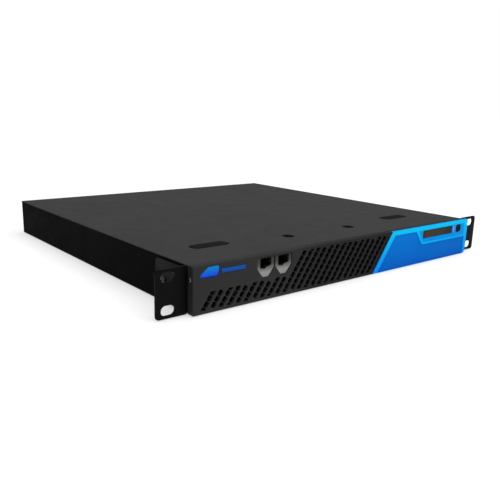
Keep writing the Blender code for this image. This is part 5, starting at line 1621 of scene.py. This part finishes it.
rock = [tip(y, z) for y, z in ((0.0, -3.2), (5.2, -6.6), (3.2, 0.0), (5.2, 6.6), (0.0, 3.2), (-2.4, 2.0), (-2.4, -2.0))]
paddle = carved(prism("x", rounded(rock, [0.8, 0.7, 2.2, 0.7, 0.8, 0.6, 0.6], 5), 163.6, 170.4), [], bevel=0.3, seg=2, angle=45)
a, b = tip(4.45, 4.3), tip(3.95, 1.9)
bar_mark = sweep([(167.0, a[0] + 0.05, a[1]), (167.0, b[0] + 0.05, b[1])], 0.28, 6)
cy, cz = tip(4.25, -3.4)
ring_mark = sweep([(167.0 + 1.15 * math.cos(t * math.pi / 10), cy + 0.05 + 0.5 * math.sin(t * math.pi / 10) * -0.9, cz + 1.15 * math.sin(t * math.pi / 10)) for t in range(21)], 0.24, 6)
piece("rocker_paddle", "psu_rocker", ["black", "nylon"], [paddle, tinted(1, bar_mark), tinted(1, ring_mark)], replaces=["psu_rocker"])

# ================================================================ rear panel and ports
PORT_X = [-182.1 + 16.06 * i for i in range(4)]
panel_holes = [round_rect(121.5, 203.7, 3.2, 38.2, 1.0, 3), round_rect(-191.0, -125.0, 9.6, 23.6, 0.8, 3), round_rect(-116.6, -101.0, 9.6, 26.4, 0.6, 3),
               rounded([(-87.0, 22.0), (-85.6, 11.4), (-67.4, 11.4), (-66.0, 22.0)], 1.4, 3)]
panel_holes += [round_rect(-40.0 + 8.6 * i, -36.0 + 8.6 * i, 7.0, 36.0, 1.9, 5) for i in range(16)]
outline = rounded([(-204.6, 1.5), (204.6, 1.5), (206.9, 1.5), (206.9, 33.5), (204.6, 33.5), (204.6, 40.3), (-204.6, 40.3), (-204.6, 33.5), (-206.9, 33.5), (-206.9, 1.5)],
                  [0.0, 0.0, 0.5, 0.5, 0.3, 0.5, 0.5, 0.3, 0.5, 0.5], 2)
outline = [p for i, p in enumerate(outline) if math.dist(p, outline[i - 1]) > 1e-4]
back = [plate("y", outline, 418.1, 416.9, holes=panel_holes, edge=[(0.2, 0.0), (0.0, 0.2)], hole_edge=[(0.25, 0.0), (0.07, 0.07), (0.0, 0.25)])]
for x, z in ((-199.0, 31.0), (-199.0, 5.4), (-53.0, 31.4), (-53.0, 4.6), (111.0, 31.0), (111.0, 4.8)):
    back.append(tinted(1, cross_screw("y", (x, 0, z), 2.7, 418.1, 419.5, 24)))
    back.append(tinted(1, cyl("y", (x, 0, z), 1.3, 416.0, 418.3, 12)))
back.append(tinted(2, rbox(-184.0, -132.0, 418.08, 418.2, 25.6, 33.6, 0.03, 1)))
piece("rear_plate", "chassis", ["steel", "zinc", "paper"], back, replaces=["rear_panel"])

lan_cut, lan_in = [], []
for x in PORT_X:
    pocket = [(x - 5.9, 20.4), (x - 5.9, 13.2), (x - 2.8, 13.2), (x - 2.8, 11.6), (x + 2.8, 11.6), (x + 2.8, 13.2), (x + 5.9, 13.2), (x + 5.9, 20.4)]
    wide = [(x - 6.5, 21.0), (x - 6.5, 12.6), (x - 3.4, 12.6), (x - 3.4, 11.0), (x + 3.4, 11.0), (x + 3.4, 12.6), (x + 6.5, 12.6), (x + 6.5, 21.0)]
    lan_cut.append(prism("y", wide, 402.0, 425.0))
    lan_in.append(tinted(1, carved(prism("y", offset(wide, 0.02), 402.2, 418.7), [("-", [prism("y", pocket, 406.5, 425.0)])])))
    for i in range(8):
        wx = x - 4.45 + 1.27 * i
        lan_in.append(tinted(2, sweep([(wx, 418.0, 20.2), (wx, 416.6, 20.0), (wx, 413.0, 18.7), (wx, 409.5, 16.8), (wx, 407.4, 15.6)], 0.2, 6)))
    for s, tone in ((-1, 3), (1, 4)):
        lan_in.append(tinted(tone, rbox(x + s * 4.6 - 1.2, x + s * 4.6 + 1.2, 417.8, 419.15, 21.35, 22.75, 0.25, 2)))
    for s in (-1, 1):
        lan_in.append(tinted(0, sweep([(x + s * 6.3, 418.9, 15.0), (x + s * 5.95, 417.2, 15.0), (x + s * 6.25, 415.2, 15.0)], 0.4, 6)))
lan = carved(rbox(-190.4, -125.6, 397.0, 419.2, 9.9, 23.2, 0.35, 2), [("-", lan_cut)], bevel=0.15, seg=1, angle=60)
piece("network_block", "chassis", ["nickel", "black", "gold", "green_led", "amber_led"], [lan] + lan_in, replaces=["lan_block"])
usb = [carved(rbox(-116.0, -101.6, 402.0, 419.2, 9.9, 26.0, 0.4, 2), [
    ("-", [box(-115.2, -102.4, 408.0, 425.0, z, z + 5.2) for z in (11.4, 19.4)])], bevel=0.15, seg=1, angle=60)]
for z in (11.4, 19.4):
    usb.append(tinted(1, rbox(-114.4, -103.2, 408.0, 417.6, z + 2.9, z + 4.7, 0.2, 1)))
    for i in range(4):
        usb.append(tinted(2, rbox(-113.2 + 2.4 * i, -112.0 + 2.4 * i, 409.0, 416.8, z + 2.74, z + 2.95, 0.05, 1)))
    for x in (-112.4, -105.2):
        usb.append(tinted(0, sweep([(x, 418.6, z + 0.1), (x, 416.8, z + 0.75), (x, 414.6, z + 0.1)], 0.45, 6)))
piece("usb_stack", "chassis", ["nickel", "black", "gold"], usb, replaces=["usb_block"])
dsub = rounded([(-85.4, 21.2), (-84.2, 12.2), (-68.8, 12.2), (-67.6, 21.2)], 1.6, 4)
dsub_in = rounded([(-84.5, 20.4), (-83.5, 13.0), (-69.5, 13.0), (-68.5, 20.4)], 1.2, 4)
ser = [carved(prism("y", round_rect(-92.0, -61.0, 10.2, 23.2, 1.4, 4), 414.6, 416.5), [
    ("+", [prism("y", dsub, 416.0, 419.8)]), ("-", [prism("y", dsub_in, 414.0, 425.0)])], bevel=0.2, seg=2, angle=50),
       tinted(1, box(-84.6, -68.4, 401.0, 414.8, 10.0, 21.0)), tinted(1, prism("y", dsub_in, 414.4, 415.8))]
for i in range(5):
    ser.append(tinted(2, lathe("y", (-81.9 + 2.76 * i, 0, 18.3), [(0.0, 414.0), (0.5, 414.0), (0.5, 418.6), (0.25, 419.0), (0.0, 419.0)], 12)))
for i in range(4):
    ser.append(tinted(2, lathe("y", (-80.5 + 2.76 * i, 0, 15.4), [(0.0, 414.0), (0.5, 414.0), (0.5, 418.6), (0.25, 419.0), (0.0, 419.0)], 12)))
for x in (-89.0, -64.0):
    ser.append(tinted(3, carved(prism("y", rounded(ring_pts(x, 16.7, 2.7, 6), 0.15, 1), 416.4, 419.6), [("-", [cyl("y", (x, 0, 16.7), 1.4, 417.0, 421.0, 16)])])))
piece("serial_socket", "chassis", ["nickel", "blue_nylon", "gold", "zinc"], ser, replaces=["serial_port"])


# ================================================================ studio
def studio():
    floor = bpy.data.meshes.new("studio_floor")
    r = 14.0
    floor.from_pydata([(-r, -r, -0.0004), (r, -r, -0.0004), (r, r, -0.0004), (-r, r, -0.0004)], [], [(0, 1, 2, 3)])
    ob = bpy.data.objects.new("studio_floor", floor)
    ROOM.objects.link(ob)
    n = Nodes("studio_paper")
    tone = n.ramp(n.noise(3.0, 3.0), [(0.3, (0.50, 0.50, 0.50, 1)), (0.7, (0.53, 0.53, 0.53, 1))])
    n.bsdf.inputs["Emission Color"].default_value = (1.0, 1.0, 1.0, 1.0)
    n.bsdf.inputs["Emission Strength"].default_value = 0.46
    n.set(Base_Color=tone, Roughness=n.grey(n.noise(60.0, 3.0), 0.3, 0.82, 0.7, 0.92))
    n.bsdf.inputs["Specular IOR Level"].default_value = 0.1
    floor.materials.append(n.mat)

    w = bpy.data.worlds.new("studio")
    SCENE.world = w
    w.use_nodes = True
    t = w.node_tree
    bg = t.nodes["Background"]
    coord = t.nodes.new("ShaderNodeTexCoord")
    sep = t.nodes.new("ShaderNodeSeparateXYZ")
    t.links.new(coord.outputs["Generated"], sep.inputs[0])
    ramp = t.nodes.new("ShaderNodeValToRGB")
    ramp.color_ramp.elements[0].position = 0.0
    ramp.color_ramp.elements[0].color = (0.26, 0.26, 0.26, 1)
    ramp.color_ramp.elements[1].position = 1.0
    ramp.color_ramp.elements[1].color = (0.62, 0.62, 0.62, 1)
    t.links.new(sep.outputs[2], ramp.inputs[0])
    path = t.nodes.new("ShaderNodeLightPath")
    mix = t.nodes.new("ShaderNodeMix")
    mix.data_type = "RGBA"
    t.links.new(path.outputs["Is Camera Ray"], mix.inputs["Factor"])
    t.links.new(ramp.outputs[0], mix.inputs[6])
    mix.inputs[7].default_value = (1.0, 1.0, 1.0, 1.0)
    t.links.new(mix.outputs[2], bg.inputs["Color"])
    bg.inputs["Strength"].default_value = 1.0

    def lamp(name, loc, aim, size, watts, tone=(1, 1, 1)):
        d = bpy.data.lights.new(name, "AREA")
        d.shape = "RECTANGLE"
        d.size, d.size_y = size
        d.energy = watts
        d.color = tone
        o = bpy.data.objects.new(name, d)
        o.location = loc
        o.rotation_mode = "QUATERNION"
        o.rotation_quaternion = (Vector(aim) - Vector(loc)).to_track_quat("-Z", "Y")
        ROOM.objects.link(o)
        return o

    sun = bpy.data.lights.new("broad_overhead_light", "SUN")
    sun.energy = 2.1
    sun.angle = 1.3
    so = bpy.data.objects.new("broad_overhead_light", sun)
    so.rotation_mode = "QUATERNION"
    so.rotation_quaternion = Vector((-0.10, 0.30, -1.0)).to_track_quat("-Z", "Y")
    ROOM.objects.link(so)
    lamp("front_softbox", (0.35, -2.2, 1.0), (0.05, -0.1, 0.0), (1.6, 1.0), 10.0)


studio()
SCENE.view_settings.view_transform = "Standard"
SCENE.view_settings.look = "None"
